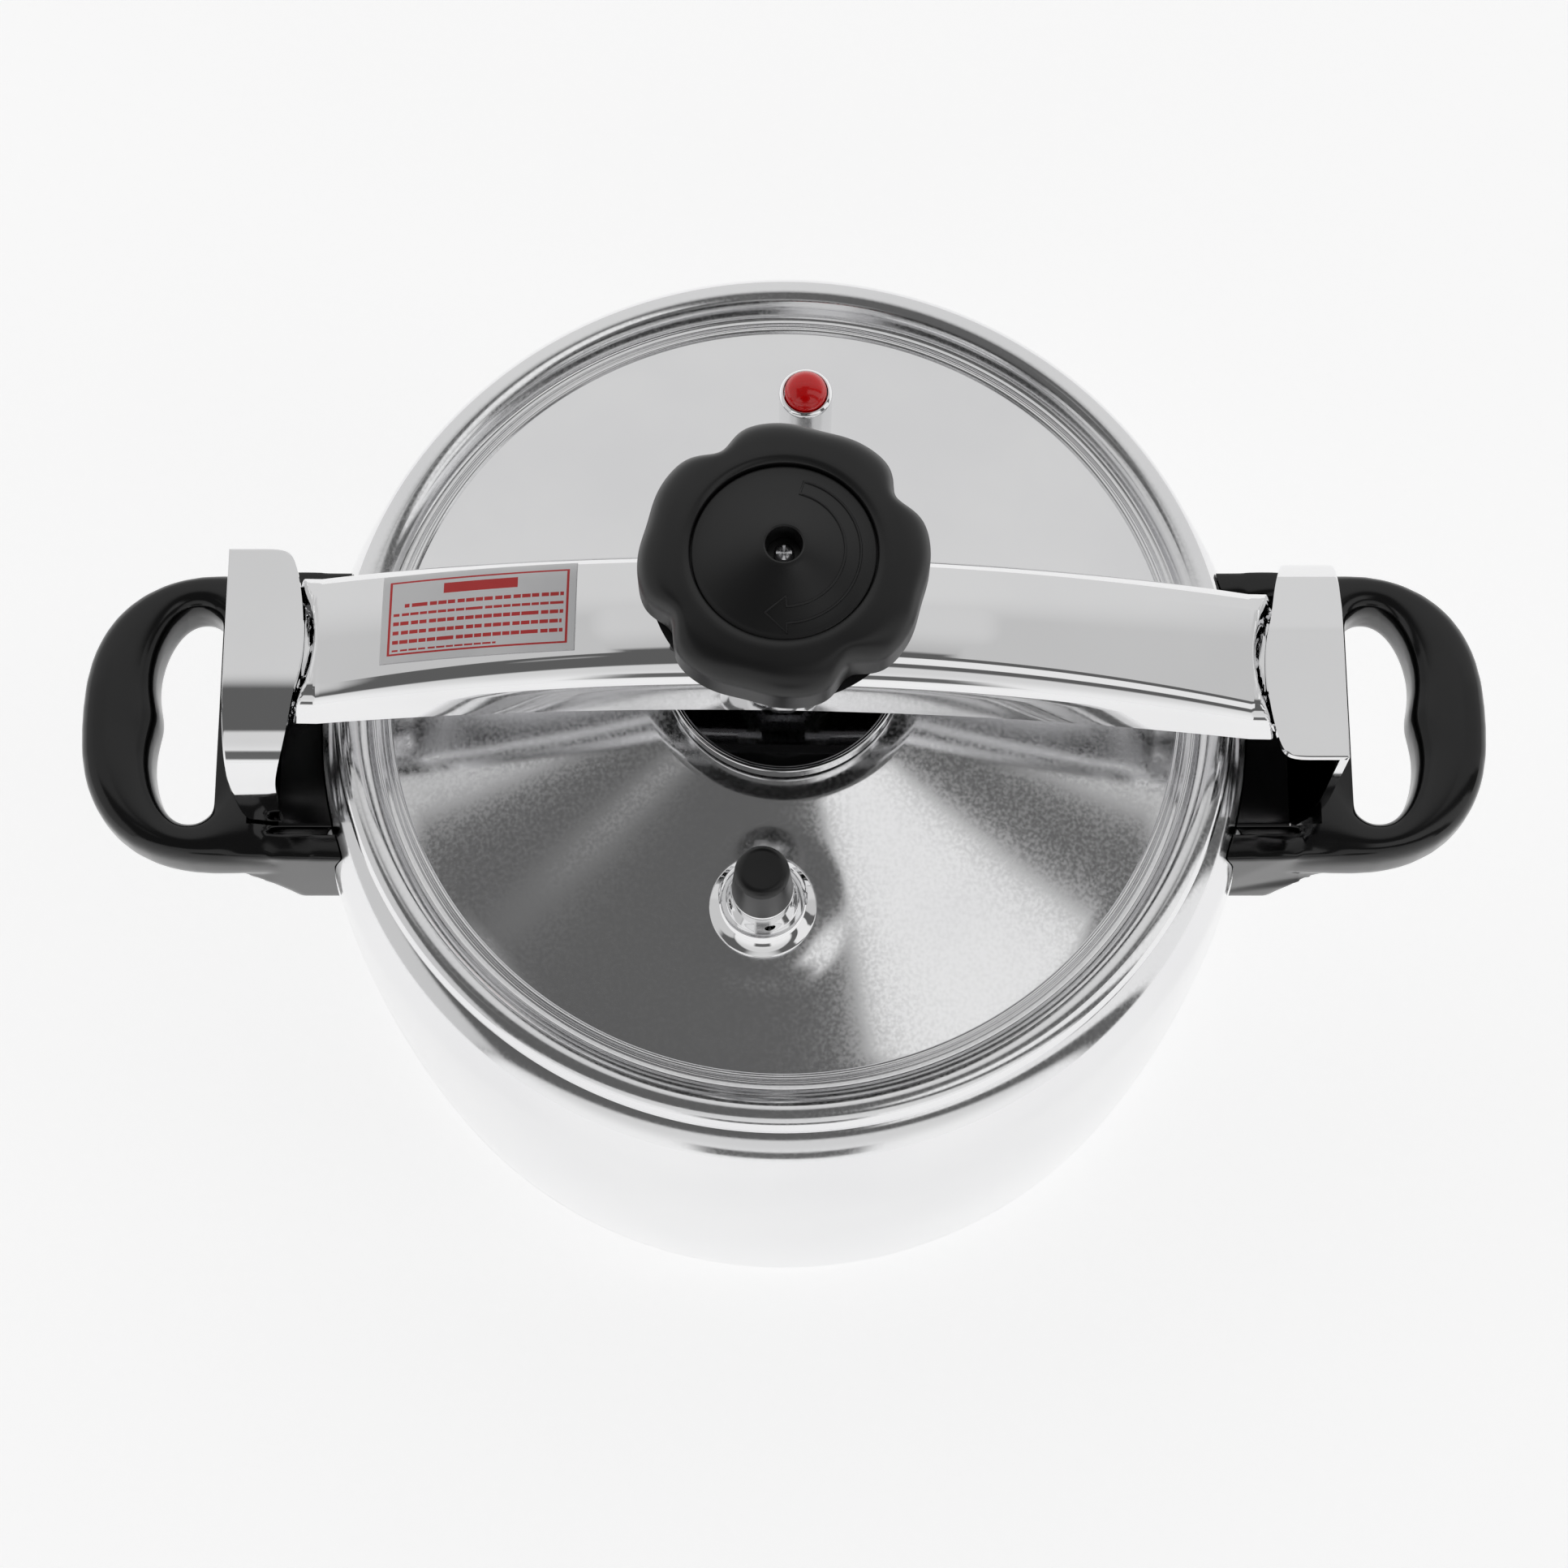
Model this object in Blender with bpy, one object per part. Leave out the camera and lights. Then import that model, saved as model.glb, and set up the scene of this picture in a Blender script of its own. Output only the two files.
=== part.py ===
"""Stove-top pressure cooker with a screw-down beam, two ears and two side handles.

Units are metres, +Z is up. The origin is the centre of the pot's base. The beam and the handles run
along X, the weight valve faces -Y and the pressure indicator is at +Y. Most heights are measured from
the rim plane, which runs through the middle of the lid's rolled edge.
"""
import math

import bmesh
import bpy

MM = 0.001

# Shared clearances
GAP = 0.3 * MM            # between parts that touch or are clamped together
RUNNING_GAP = 0.3 * MM    # around a shaft, a thread or a button
FACET_GAP = 0.8 * MM      # where a flat head lies against the round wall

# Pot
POT_RADIUS = 145.8 * MM   # belly, outside
RIM_HEIGHT = 200.0 * MM   # rim plane above the base
POT_WALL = 3.0 * MM
BASE_WALL = 4.0 * MM
BASE_CORNER = 24.0 * MM
BASE_TAPER = 3.5 * MM     # belly radius less the radius above the base corner
BELLY_DROP = 85.0 * MM    # belly below the rim plane
SHOULDER_DROP = 37.0 * MM
SHOULDER_INSET = 2.0 * MM
LEDGE_DROP = 16.0 * MM
NECK_INSET = 17.3 * MM    # belly radius less the neck radius
RIM_LIP = 4.7 * MM        # rim beyond the neck
RIM_WALL = 3.0 * MM
RIM_TOP_DROP = 4.3 * MM

# Lid
LID_WALL = 2.5 * MM
LID_YAW = math.radians(-4.8)
BEAD_OVERHANG = 0.8 * MM  # rolled edge beyond the pot's rim
BEAD_HALF_WIDTH = 5.0 * MM
BEAD_HEIGHT = 4.6 * MM
BEAD_DROP = 1.0 * MM
BAND_DROP = 2.6 * MM      # flat band inside the rolled edge
BAND_OUTER_INSET = 12.0 * MM
BAND_INNER_INSET = 17.0 * MM
HUB_SEAT_RADIUS = 41.5 * MM
HUB_SEAT_RISE = 20.5 * MM
RING_SIDE_GAP = 0.5 * MM  # between the rubber ring and the rolled edge
RING_TOP_GAP = 0.7 * MM
RING_TOP_SHARE = 0.45     # width of the ring's top as a share of its foot

# Hub, which carries the foot of the spindle
HUB_PLATE_RADIUS = 35.2 * MM
HUB_FLOOR = 2.4 * MM
HUB_LIP_WALL = 1.2 * MM
HUB_CAP_WALL = 1.9 * MM
HUB_STUD_RADIUS = 5.7 * MM
HUB_STUD_LENGTH = 11.0 * MM
HUB_BORE_CLEARANCE = 1.0 * MM
NUT_HEIGHT = 5.0 * MM

# Spindle and knob
SPINDLE_RADIUS = 6.0 * MM
SPINDLE_COLLAR_LIP = 2.5 * MM
SPINDLE_COLLAR_HEIGHT = 1.1 * MM
KNOB_RADIUS = 39.75 * MM
KNOB_TOP = 111.0 * MM
KNOB_HEIGHT = 18.5 * MM
KNOB_FILLET = 7.0 * MM
KNOB_NOTCHES = 4
KNOB_NOTCH_DEPTH = 4.6 * MM
KNOB_NOTCH_SPREAD = math.radians(9.5)
KNOB_FLAT_DEPTH = 1.3 * MM
KNOB_FLAT_SPREAD = math.radians(12.0)
KNOB_TURN = math.radians(29.7)
KNOB_RIM_RADIUS = 34.5 * MM
KNOB_RIM_HEIGHT = 2.5 * MM
KNOB_BOSS_WALL = 9.7 * MM
KNOB_BOSS_LENGTH = 20.0 * MM
KNOB_SOCKET_DEPTH = 28.0 * MM
KNOB_DISC_RADIUS = 24.9 * MM
KNOB_DISC_RECESS = 4.5 * MM
KNOB_DISC_EDGE = 2.2 * MM
KNOB_DISC_RISE = 6.0 * MM
KNOB_DISC_HOLE = 5.0 * MM
KNOB_SCREW_RADIUS = 1.6 * MM
KNOB_SCREW_HEAD = 2.8 * MM
KNOB_SCREW_HEAD_SIDE = 1.4 * MM
KNOB_SCREW_HEAD_HEIGHT = 2.2 * MM
KNOB_SCREW_LENGTH = 20.0 * MM
KNOB_SCREW_BITE = 0.6     # share of the screw's length that is in the spindle
KNOB_FOOT_CHAMFER = 1.0 * MM
KNOB_LIP = 2.0 * MM       # flat lip round the recess

# Beam
BEAM_YAW = math.radians(-1.0)
BEAM_TOP = 64.0 * MM
BEAM_HALF_WIDTH = 21.5 * MM
BEAM_DEPTH = 18.0 * MM
BEAM_END_TOP = 36.0 * MM
BEAM_END_HALF_WIDTH = 19.0 * MM
BEAM_END_DEPTH = 11.0 * MM
BEAM_CORNER = 10.0 * MM
BEAM_MIN_SIDE = 1.0 * MM  # straight side left below the rounded shoulder
BEAM_CORNER_STEPS = 3
BEAM_WALL = 2.5 * MM
TONGUE_HALF_WIDTH = 17.0 * MM
TONGUE_DEPTH = 6.0 * MM
TONGUE_STEP = 3.0 * MM    # length of the step down to the tongue
STEP_CLEARANCE = 1.2 * MM  # from the step to the ear's flange, for the swing
TONGUE_END_GAP = 3.5 * MM
BUSH_WALL = 2.7 * MM
BUSH_FLANGE_LIP = 7.0 * MM
BUSH_FLANGE_HEIGHT = 3.7 * MM
BUSH_LENGTH = 14.0 * MM
BEAM_NUT_WALL = 4.0 * MM
BEAM_NUT_HEIGHT = 9.0 * MM
KNOB_WASHER_WALL = 1.2 * MM
KNOB_WASHER_INSET = 2.0 * MM

# Sticker on the beam
LABEL_LENGTH = 56.0 * MM
LABEL_WIDTH = 27.0 * MM
LABEL_X = -87.0 * MM
LABEL_Y = 3.0 * MM
LABEL_WALL = 0.3 * MM

# Ears, described for the one at +X
EAR_STANDOFF = 16.2 * MM  # web beyond the belly
EAR_WALL = 2.5 * MM
EAR_TOP = 31.0 * MM
EAR_FLANGE = 23.5 * MM
EAR_CORNER = 3.5 * MM
EAR_OPEN_SIDE = -32.0 * MM
EAR_CLOSED_SIDE = 26.5 * MM
EAR_KNEE_DROP = 17.6 * MM
EAR_FOOT_TOP_DROP = 61.0 * MM
EAR_FOOT_DROP = 79.0 * MM
EAR_KNEE_BOW = 1.0 * MM   # how far the leg bows out between the knee and the foot
EAR_STOP_DEPTH = 22.0 * MM
EAR_STOP_INSET = 2.0 * MM  # from the flange's inner edge
EAR_STOP_FOOT = 8.0 * MM  # width of the closed end's lower edge
TONGUE_GAP = 0.5 * MM     # under the ear's flange
RIVET_COUNT = 3
RIVET_SPACING = 19.0 * MM
RIVET_DROP = 70.0 * MM
RIVET_RADIUS = 2.6 * MM
RIVET_HEAD_RADIUS = 4.5 * MM
RIVET_HEAD_HEIGHT = 2.0 * MM

# Handles, described for the one at +X
HANDLE_REACH = 68.7 * MM  # beyond the belly
HANDLE_TOP_DROP = 22.0 * MM
HANDLE_THICKNESS = 22.0 * MM
HANDLE_HALF_WIDTH = 46.5 * MM
HANDLE_ROUND = 46.0 * MM  # length of the rounded end
HANDLE_POWER = 2.5        # squareness of the rounded end
HANDLE_ROOT_HALF_WIDTH = 46.5 * MM
HANDLE_BEVEL = 4.0 * MM
HOLE_OUTER_INSET = 21.0 * MM
HOLE_GRIP_BULGE = 3.0 * MM
HOLE_HALF_WIDTH = 34.0 * MM
HOLE_OUTER_ROUND = 14.0 * MM
HOLE_LENGTH = 27.0 * MM
HOLE_POWER = 2.2
POCKET_HALF_WIDTH = 37.5 * MM
POCKET_STANDOFF = 8.2 * MM
LEG_CLEARANCE = 0.7 * MM  # between the ear's leg and the handle
LEG_SIDE_CLEARANCE = 1.5 * MM
ROOT_INSET = 0.5 * MM     # root block inside the handle's arm, on each side
ROOT_DROP = 65.0 * MM     # lowest point of the handle's root blocks
ROOT_STANDOFF = 4.2 * MM
STUD_RADIUS = 2.5 * MM
STUD_SIDE = 42.0 * MM
STUD_DROP = 55.0 * MM
STUD_NUT_RADIUS = 4.5 * MM
STUD_NUT_LENGTH = 6.0 * MM
STUD_NUT_CAP = 2.0 * MM   # closed end of the cap nut
STUD_NUT_ROUND = 1.5 * MM

# Weight valve
WEIGHT_PLACE = 72.5 * MM  # from the lid's centre
PIPE_RADIUS = 4.0 * MM
PIPE_BORE = 1.6 * MM
PIPE_FLANGE_LIP = 4.0 * MM
PIPE_FLANGE_HEIGHT = 2.0 * MM
PIPE_TOP = 24.5 * MM
PIPE_TAIL = 6.0 * MM      # below the nut
SCREEN_LIP = 3.0 * MM
SCREEN_WALL = 1.2 * MM
SCREEN_DROP = 3.0 * MM    # below the pipe's tail
SCREEN_SLOT = 0.8 * MM    # half width
SKIRT_LIP = 6.8 * MM
SKIRT_GAP = 0.5 * MM
SKIRT_EDGE = 0.8 * MM
SKIRT_THROAT = 8.0 * MM   # height at which the hollow skirt meets the bell's bore
BELL_CLEARANCE = 2.2 * MM # round the vent pipe
BELL_TOP = 34.0 * MM
BELL_WALL = 2.4 * MM
BELL_PLUG = 5.7 * MM
BELL_HOLES = 4
BELL_HOLE_RADIUS = 1.6 * MM
BELL_HOLE_RISE = 26.5 * MM
BELL_HOLE_TURN = math.radians(18.0)
WEIGHT_CAP_LIP = 0.15 * MM
WEIGHT_CAP_DRAFT = 1.15 * MM
WEIGHT_CAP_ROUND = 1.5 * MM
WEIGHT_CAP_BORE = 10.0 * MM
WEIGHT_CAP_TOP = 53.0 * MM
SKIRT_FLARE = (           # share of the lip and height above the skirt's foot
    (0.57, 2.2 * MM),
    (0.25, 5.5 * MM),
    (0.10, 11.0 * MM),
)
NEEDLE_RADIUS = 1.2 * MM
NEEDLE_REACH = 4.0 * MM   # into the vent pipe
NEEDLE_POINT = 0.5 * MM
NEEDLE_SHOULDER = 3.0 * MM
NEEDLE_STEM = 2.0 * MM

# Pressure indicator
INDICATOR_PLACE = 75.5 * MM
HOUSING_WALL = 1.35 * MM
HOUSING_TOP = 46.0 * MM
HOUSING_STEM_RADIUS = 6.0 * MM
HOUSING_CHAMFER = 1.0 * MM
BUTTON_RADIUS = 6.2 * MM
BUTTON_PROUD = 5.5 * MM
BUTTON_BODY = 8.0 * MM
BUTTON_WELL = 16.0 * MM
PIN_RADIUS = 2.0 * MM
PIN_TAIL = 1.0 * MM       # pin below its seal
INDICATOR_RISE = 6.0 * MM
STEM_TAIL = 0.8 * MM      # housing's stem below its nut
INDICATOR_SEAL_RADIUS = 4.5 * MM
INDICATOR_SEAL_HEIGHT = 2.2 * MM
VALVE_NUT_WALL = 3.5 * MM

# Number of flat sides that stand for a full turn
ROUND_LARGE = 48
ROUND_KNOB = 36
ROUND_SMALL = 16
ROUND_NUT = 6
ROUND_HOLE = 10
QUARTER_TURN = math.radians(90.0)

# Sizes that follow from the ones above
NECK_RADIUS = POT_RADIUS - NECK_INSET
MOUTH_RADIUS = NECK_RADIUS - POT_WALL
RIM_RADIUS = NECK_RADIUS + RIM_LIP
BEAD_RADIUS = RIM_RADIUS + BEAD_OVERHANG
BEAD_MIDDLE = BEAD_RADIUS - BEAD_HALF_WIDTH
SKIRT_Z = GAP - RIM_TOP_DROP
CONE_FOOT_RADIUS = BEAD_RADIUS - BAND_INNER_INSET
EAR_OUT = POT_RADIUS + EAR_STANDOFF
EAR_IN = EAR_OUT - EAR_FLANGE
TONGUE_TOP = EAR_TOP - EAR_WALL - TONGUE_GAP
BEAM_SHOULDER = EAR_IN - STEP_CLEARANCE - TONGUE_STEP
TONGUE_END = EAR_OUT - EAR_WALL - TONGUE_END_GAP
HUB_PLATE_Z = HUB_SEAT_RISE + GAP
SPINDLE_FOOT = HUB_PLATE_Z + HUB_FLOOR + GAP
HUB_CAP_Z = SPINDLE_FOOT + SPINDLE_COLLAR_HEIGHT + GAP
KNOB_BOTTOM = KNOB_TOP - KNOB_HEIGHT
KNOB_BOSS_BOTTOM = KNOB_BOTTOM - KNOB_RIM_HEIGHT - KNOB_BOSS_LENGTH
SPINDLE_TOP = KNOB_BOSS_BOTTOM + KNOB_SOCKET_DEPTH - GAP
DISC_FLOOR = KNOB_TOP - KNOB_DISC_RECESS
BUSH_Z = BEAM_TOP + GAP
BUSH_RADIUS = SPINDLE_RADIUS + RUNNING_GAP + BUSH_WALL
BUSH_FLANGE_RADIUS = BUSH_RADIUS + BUSH_FLANGE_LIP
BEAM_NUT_RADIUS = BUSH_RADIUS + BEAM_NUT_WALL
SPINDLE_COLLAR_RADIUS = SPINDLE_RADIUS + SPINDLE_COLLAR_LIP
KNOB_BOSS_RADIUS = SPINDLE_RADIUS + GAP + KNOB_BOSS_WALL
PIPE_FLANGE_RADIUS = PIPE_RADIUS + PIPE_FLANGE_LIP
SCREEN_RADIUS = PIPE_RADIUS + SCREEN_LIP
BELL_RADIUS = PIPE_RADIUS + BELL_CLEARANCE + BELL_WALL
SKIRT_RADIUS = BELL_RADIUS + SKIRT_LIP
WEIGHT_CAP_RADIUS = BELL_RADIUS + WEIGHT_CAP_LIP
WEIGHT_CAP_TOP_RADIUS = WEIGHT_CAP_RADIUS - WEIGHT_CAP_DRAFT
HOUSING_RADIUS = BUTTON_RADIUS + RUNNING_GAP + HOUSING_WALL
HANDLE_OUT = POT_RADIUS + HANDLE_REACH
HOLE_OUT = HANDLE_OUT - HOLE_OUTER_INSET


def clear_scene():
    for thing in list(bpy.data.objects):
        bpy.data.objects.remove(thing)


def principled(name, colour, roughness, metallic):
    material = bpy.data.materials.new(name)
    material.use_nodes = True
    shader = material.node_tree.nodes["Principled BSDF"]
    shader.inputs["Base Color"].default_value = (*colour, 1.0)
    shader.inputs["Roughness"].default_value = roughness
    shader.inputs["Metallic"].default_value = metallic
    return material


def make_materials():
    return {
        "polished_aluminium": principled("polished_aluminium", (0.82, 0.82, 0.83), 0.12, 1.0),
        "chromed_steel": principled("chromed_steel", (0.80, 0.80, 0.81), 0.06, 1.0),
        "steel": principled("steel", (0.62, 0.62, 0.64), 0.25, 1.0),
        "handle_black": principled("handle_black", (0.012, 0.012, 0.013), 0.12, 0.0),
        "knob_black": principled("knob_black", (0.015, 0.015, 0.016), 0.38, 0.0),
        "indicator_red": principled("indicator_red", (0.75, 0.01, 0.01), 0.25, 0.0),
        "seal_rubber": principled("seal_rubber", (0.55, 0.54, 0.50), 0.60, 0.0),
        "label_white": principled("label_white", (0.85, 0.84, 0.84), 0.35, 0.0),
    }


def make_empty(name, location=(0.0, 0.0, 0.0), turn=0.0, parent=None):
    empty = bpy.data.objects.new(name, None)
    empty.location = location
    empty.rotation_euler = (0.0, 0.0, turn)
    empty.parent = parent
    bpy.context.collection.objects.link(empty)
    return empty


def face_outwards(bm):
    """Make the faces of one closed solid point out."""
    bmesh.ops.recalc_face_normals(bm, faces=bm.faces)
    if bm.calc_volume(signed=True) < 0.0:
        bmesh.ops.reverse_faces(bm, faces=bm.faces)


def finish_mesh(bm, name, material, parent, location=(0.0, 0.0, 0.0), rotation=(0.0, 0.0, 0.0)):
    """Turn a bmesh into an object, and shade its round faces smooth."""
    mesh = bpy.data.meshes.new(name)
    bm.to_mesh(mesh)
    bm.free()
    mesh.shade_smooth()
    mesh.set_sharp_from_angle(angle=math.radians(35.0))
    thing = bpy.data.objects.new(name, mesh)
    thing.location = location
    thing.rotation_euler = rotation
    thing.parent = parent
    if material:
        mesh.materials.append(material)
    bpy.context.collection.objects.link(thing)
    return thing


def turned(name, profile, material, parent, sides=ROUND_SMALL, closed=None, **place):
    """Spin a profile of (radius, height) points round Z. A closed profile joins its own ends."""
    if closed is None:
        closed = profile[0][0] > 0.0
    bm = bmesh.new()
    corners = [bm.verts.new((radius, 0.0, height)) for radius, height in profile]
    edges = [bm.edges.new(pair) for pair in zip(corners, corners[1:])]
    if closed:
        edges.append(bm.edges.new((corners[-1], corners[0])))
    bmesh.ops.spin(bm, geom=corners + edges, cent=(0.0, 0.0, 0.0), axis=(0.0, 0.0, 1.0),
                   angle=math.tau, steps=sides, use_merge=True)
    bmesh.ops.remove_doubles(bm, verts=bm.verts, dist=0.001 * MM)
    face_outwards(bm)
    return finish_mesh(bm, name, material, parent, **place)


def extruded(name, outline, low, high, material, parent, **place):
    """Extrude a flat outline of (x, y) points from one height to another."""
    bm = bmesh.new()
    face = bm.faces.new([bm.verts.new((x, y, low)) for x, y in outline])
    grown = bmesh.ops.extrude_face_region(bm, geom=[face])
    top = [item for item in grown["geom"] if isinstance(item, bmesh.types.BMVert)]
    bmesh.ops.translate(bm, verts=top, vec=(0.0, 0.0, high - low))
    face_outwards(bm)
    return finish_mesh(bm, name, material, parent, **place)


def upright(name, outline, low, high, material, parent):
    """Extrude an outline of (x, z) points along Y."""
    bm = bmesh.new()
    face = bm.faces.new([bm.verts.new((x, low, z)) for x, z in outline])
    grown = bmesh.ops.extrude_face_region(bm, geom=[face])
    far = [item for item in grown["geom"] if isinstance(item, bmesh.types.BMVert)]
    bmesh.ops.translate(bm, verts=far, vec=(0.0, high - low, 0.0))
    face_outwards(bm)
    return finish_mesh(bm, name, material, parent)


def sheet_solid(name, outer, inner, material, parent):
    """Close the space between two grids of points, such as the two faces of pressed sheet."""
    bm = bmesh.new()
    skins = [[[bm.verts.new(point) for point in row] for row in grid] for grid in (outer, inner)]
    rows = len(outer)
    columns = len(outer[0])
    for skin in skins:
        for i in range(rows - 1):
            for j in range(columns - 1):
                bm.faces.new((skin[i][j], skin[i + 1][j], skin[i + 1][j + 1], skin[i][j + 1]))
    top, under = skins
    for i in range(rows - 1):
        for j in (0, columns - 1):
            bm.faces.new((top[i][j], top[i + 1][j], under[i + 1][j], under[i][j]))
    for j in range(columns - 1):
        for i in (0, rows - 1):
            bm.faces.new((top[i][j], top[i][j + 1], under[i][j + 1], under[i][j]))
    face_outwards(bm)
    return finish_mesh(bm, name, material, parent)


def rings_solid(name, rings, material, parent, **place):
    """Join closed rings of equal point counts, and the last one to the first."""
    bm = bmesh.new()
    loops = [[bm.verts.new(point) for point in ring] for ring in rings]
    count = len(rings[0])
    for lower, upper in zip(loops, loops[1:] + loops[:1]):
        for k in range(count):
            following = (k + 1) % count
            bm.faces.new((lower[k], lower[following], upper[following], upper[k]))
    face_outwards(bm)
    return finish_mesh(bm, name, material, parent, **place)


def as_tool(thing):
    """Mark a solid that only cuts or joins another one."""
    thing.hide_render = True
    thing.display_type = "WIRE"
    return thing


def combine(thing, tool, operation):
    modifier = thing.modifiers.new(tool.name, "BOOLEAN")
    modifier.operation = operation
    modifier.object = tool
    modifier.solver = "EXACT"


def drill(things, name, radius, start, end, parent, sides=ROUND_HOLE, **place):
    """Cut one round hole through solids, from one height to another on its own axis."""
    profile = [(0.0, start), (radius, start), (radius, end), (0.0, end)]
    tool = as_tool(turned(name, profile, None, parent, sides, **place))
    for thing in things:
        combine(thing, tool, "DIFFERENCE")


def bevel(thing, width, segments, angle):
    modifier = thing.modifiers.new("edges", "BEVEL")
    modifier.width = width
    modifier.segments = segments
    modifier.limit_method = "ANGLE"
    modifier.angle_limit = angle


def ellipse_arc(centre_x, centre_z, half_x, half_z, start, end, steps):
    """Points on an ellipse from one angle to another, in degrees."""
    points = []
    for k in range(steps + 1):
        angle = math.radians(start + (end - start) * k / steps)
        points.append((centre_x + half_x * math.cos(angle), centre_z + half_z * math.sin(angle)))
    return points


def offset_path(path, distance):
    """Shift an open path sideways, to the right of its direction, with mitred corners."""
    normals = []
    for (x0, z0), (x1, z1) in zip(path, path[1:]):
        length = math.hypot(x1 - x0, z1 - z0)
        normals.append(((z1 - z0) / length, -(x1 - x0) / length))
    shifted = []
    for k, (x, z) in enumerate(path):
        before = normals[max(k - 1, 0)]
        after = normals[min(k, len(normals) - 1)]
        scale = distance / (1.0 + before[0] * after[0] + before[1] * after[1])
        shifted.append((x + (before[0] + after[0]) * scale, z + (before[1] + after[1]) * scale))
    return shifted


def wall_radius(height):
    """Outer radius of the pot's wall at a height above the base, below the shoulder."""
    belly = RIM_HEIGHT - BELLY_DROP
    if height < belly:
        share = (belly - height) / (belly - BASE_CORNER)
        return POT_RADIUS - BASE_TAPER * share ** 2
    share = (height - belly) / (BELLY_DROP - SHOULDER_DROP)
    return POT_RADIUS - SHOULDER_INSET * share ** 2


def pot_outside():
    """Outer profile from the base's centre to the neck, in heights above the base."""
    corner_middle = POT_RADIUS - BASE_TAPER - BASE_CORNER
    path = [(0.0, 0.0)]
    path += ellipse_arc(corner_middle, BASE_CORNER, BASE_CORNER, BASE_CORNER, -90, 0, 4)
    shoulder = RIM_HEIGHT - SHOULDER_DROP
    steps = 4
    for k in range(1, steps):
        height = BASE_CORNER + (shoulder - BASE_CORNER) * k / steps
        path.append((wall_radius(height), height))
    half_x = NECK_INSET - SHOULDER_INSET
    half_z = SHOULDER_DROP - LEDGE_DROP
    path += ellipse_arc(NECK_RADIUS, shoulder, half_x, half_z, 0, 90, 4)[:-1]
    path.append((NECK_RADIUS, RIM_HEIGHT - LEDGE_DROP))
    return path


def pot_profile():
    outside = pot_outside()
    rim_top = RIM_HEIGHT - RIM_TOP_DROP
    rim_under = rim_top - RIM_WALL
    rim = [(NECK_RADIUS, rim_under), (RIM_RADIUS, rim_under), (RIM_RADIUS, rim_top)]
    mouth = [(MOUTH_RADIUS, rim_top)]
    inside = offset_path(outside[1:], -POT_WALL)
    inside = [(r, max(z, BASE_WALL)) for r, z in inside]
    inside[-1] = (MOUTH_RADIUS, inside[-1][1])
    inside[0] = (inside[0][0], BASE_WALL)
    return outside + rim + mouth + inside[::-1] + [(0.0, BASE_WALL)]


def make_pot(materials, frame):
    return turned("pot_shell", pot_profile(), materials["polished_aluminium"], frame, sides=ROUND_LARGE)


def make_pot_clearance(frame):
    """The pot's outside grown by the clearance, which shapes what is fitted to its wall."""
    grown = offset_path(pot_outside(), GAP)
    grown[0] = (0.0, grown[0][1])
    grown.append((0.0, grown[-1][1]))
    return as_tool(turned("pot_clearance", grown, None, frame, sides=ROUND_LARGE))


def lid_outside():
    """Top face of the lid from the skirt's lower edge to the hub's bore."""
    path = [(BEAD_RADIUS, SKIRT_Z)]
    path += ellipse_arc(BEAD_MIDDLE, -BEAD_DROP, BEAD_HALF_WIDTH, BEAD_HEIGHT, 0, 150, 5)
    path.append((BEAD_RADIUS - BAND_OUTER_INSET, -BAND_DROP))
    path.append((CONE_FOOT_RADIUS, -BAND_DROP))
    path.append((HUB_SEAT_RADIUS, HUB_SEAT_RISE))
    path.append((HUB_STUD_RADIUS + GAP, HUB_SEAT_RISE))
    return path


def cone_height(radius):
    """Height of the lid's conical face above the rim plane."""
    share = (CONE_FOOT_RADIUS - radius) / (CONE_FOOT_RADIUS - HUB_SEAT_RADIUS)
    return -BAND_DROP + (HUB_SEAT_RISE + BAND_DROP) * share


def cone_wall():
    """Thickness of the lid's conical wall, measured straight down."""
    run = CONE_FOOT_RADIUS - HUB_SEAT_RADIUS
    rise = HUB_SEAT_RISE + BAND_DROP
    return LID_WALL * math.hypot(run, rise) / run


def make_lid(materials, frame):
    outside = lid_outside()
    profile = outside + offset_path(outside, -LID_WALL)[::-1]
    lid = turned("lid_shell", profile, materials["polished_aluminium"], frame, sides=ROUND_LARGE)
    reach = HUB_SEAT_RISE + LID_WALL
    drill([lid], "weight_hole", PIPE_RADIUS + GAP, -reach, reach, frame,
          sides=ROUND_SMALL, location=(0.0, -WEIGHT_PLACE, 0.0))
    drill([lid], "indicator_hole", HOUSING_STEM_RADIUS + GAP, -reach, reach, frame,
          sides=ROUND_SMALL, location=(0.0, INDICATOR_PLACE, 0.0))


def make_sealing_ring(materials, frame):
    """Rubber ring in the lid's rolled edge, which stands on the pot's rim."""
    half = BEAD_HALF_WIDTH - LID_WALL - RING_SIDE_GAP
    shoulder = half * RING_TOP_SHARE
    top = BEAD_HEIGHT - BEAD_DROP - LID_WALL - RING_TOP_GAP
    profile = [
        (BEAD_MIDDLE - half, SKIRT_Z),
        (BEAD_MIDDLE + half, SKIRT_Z),
        (BEAD_MIDDLE + half, -BEAD_DROP),
        (BEAD_MIDDLE + shoulder, top),
        (BEAD_MIDDLE - shoulder, top),
        (BEAD_MIDDLE - half, -BEAD_DROP),
    ]
    turned("sealing_ring", profile, materials["seal_rubber"], frame, sides=ROUND_LARGE)


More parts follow.
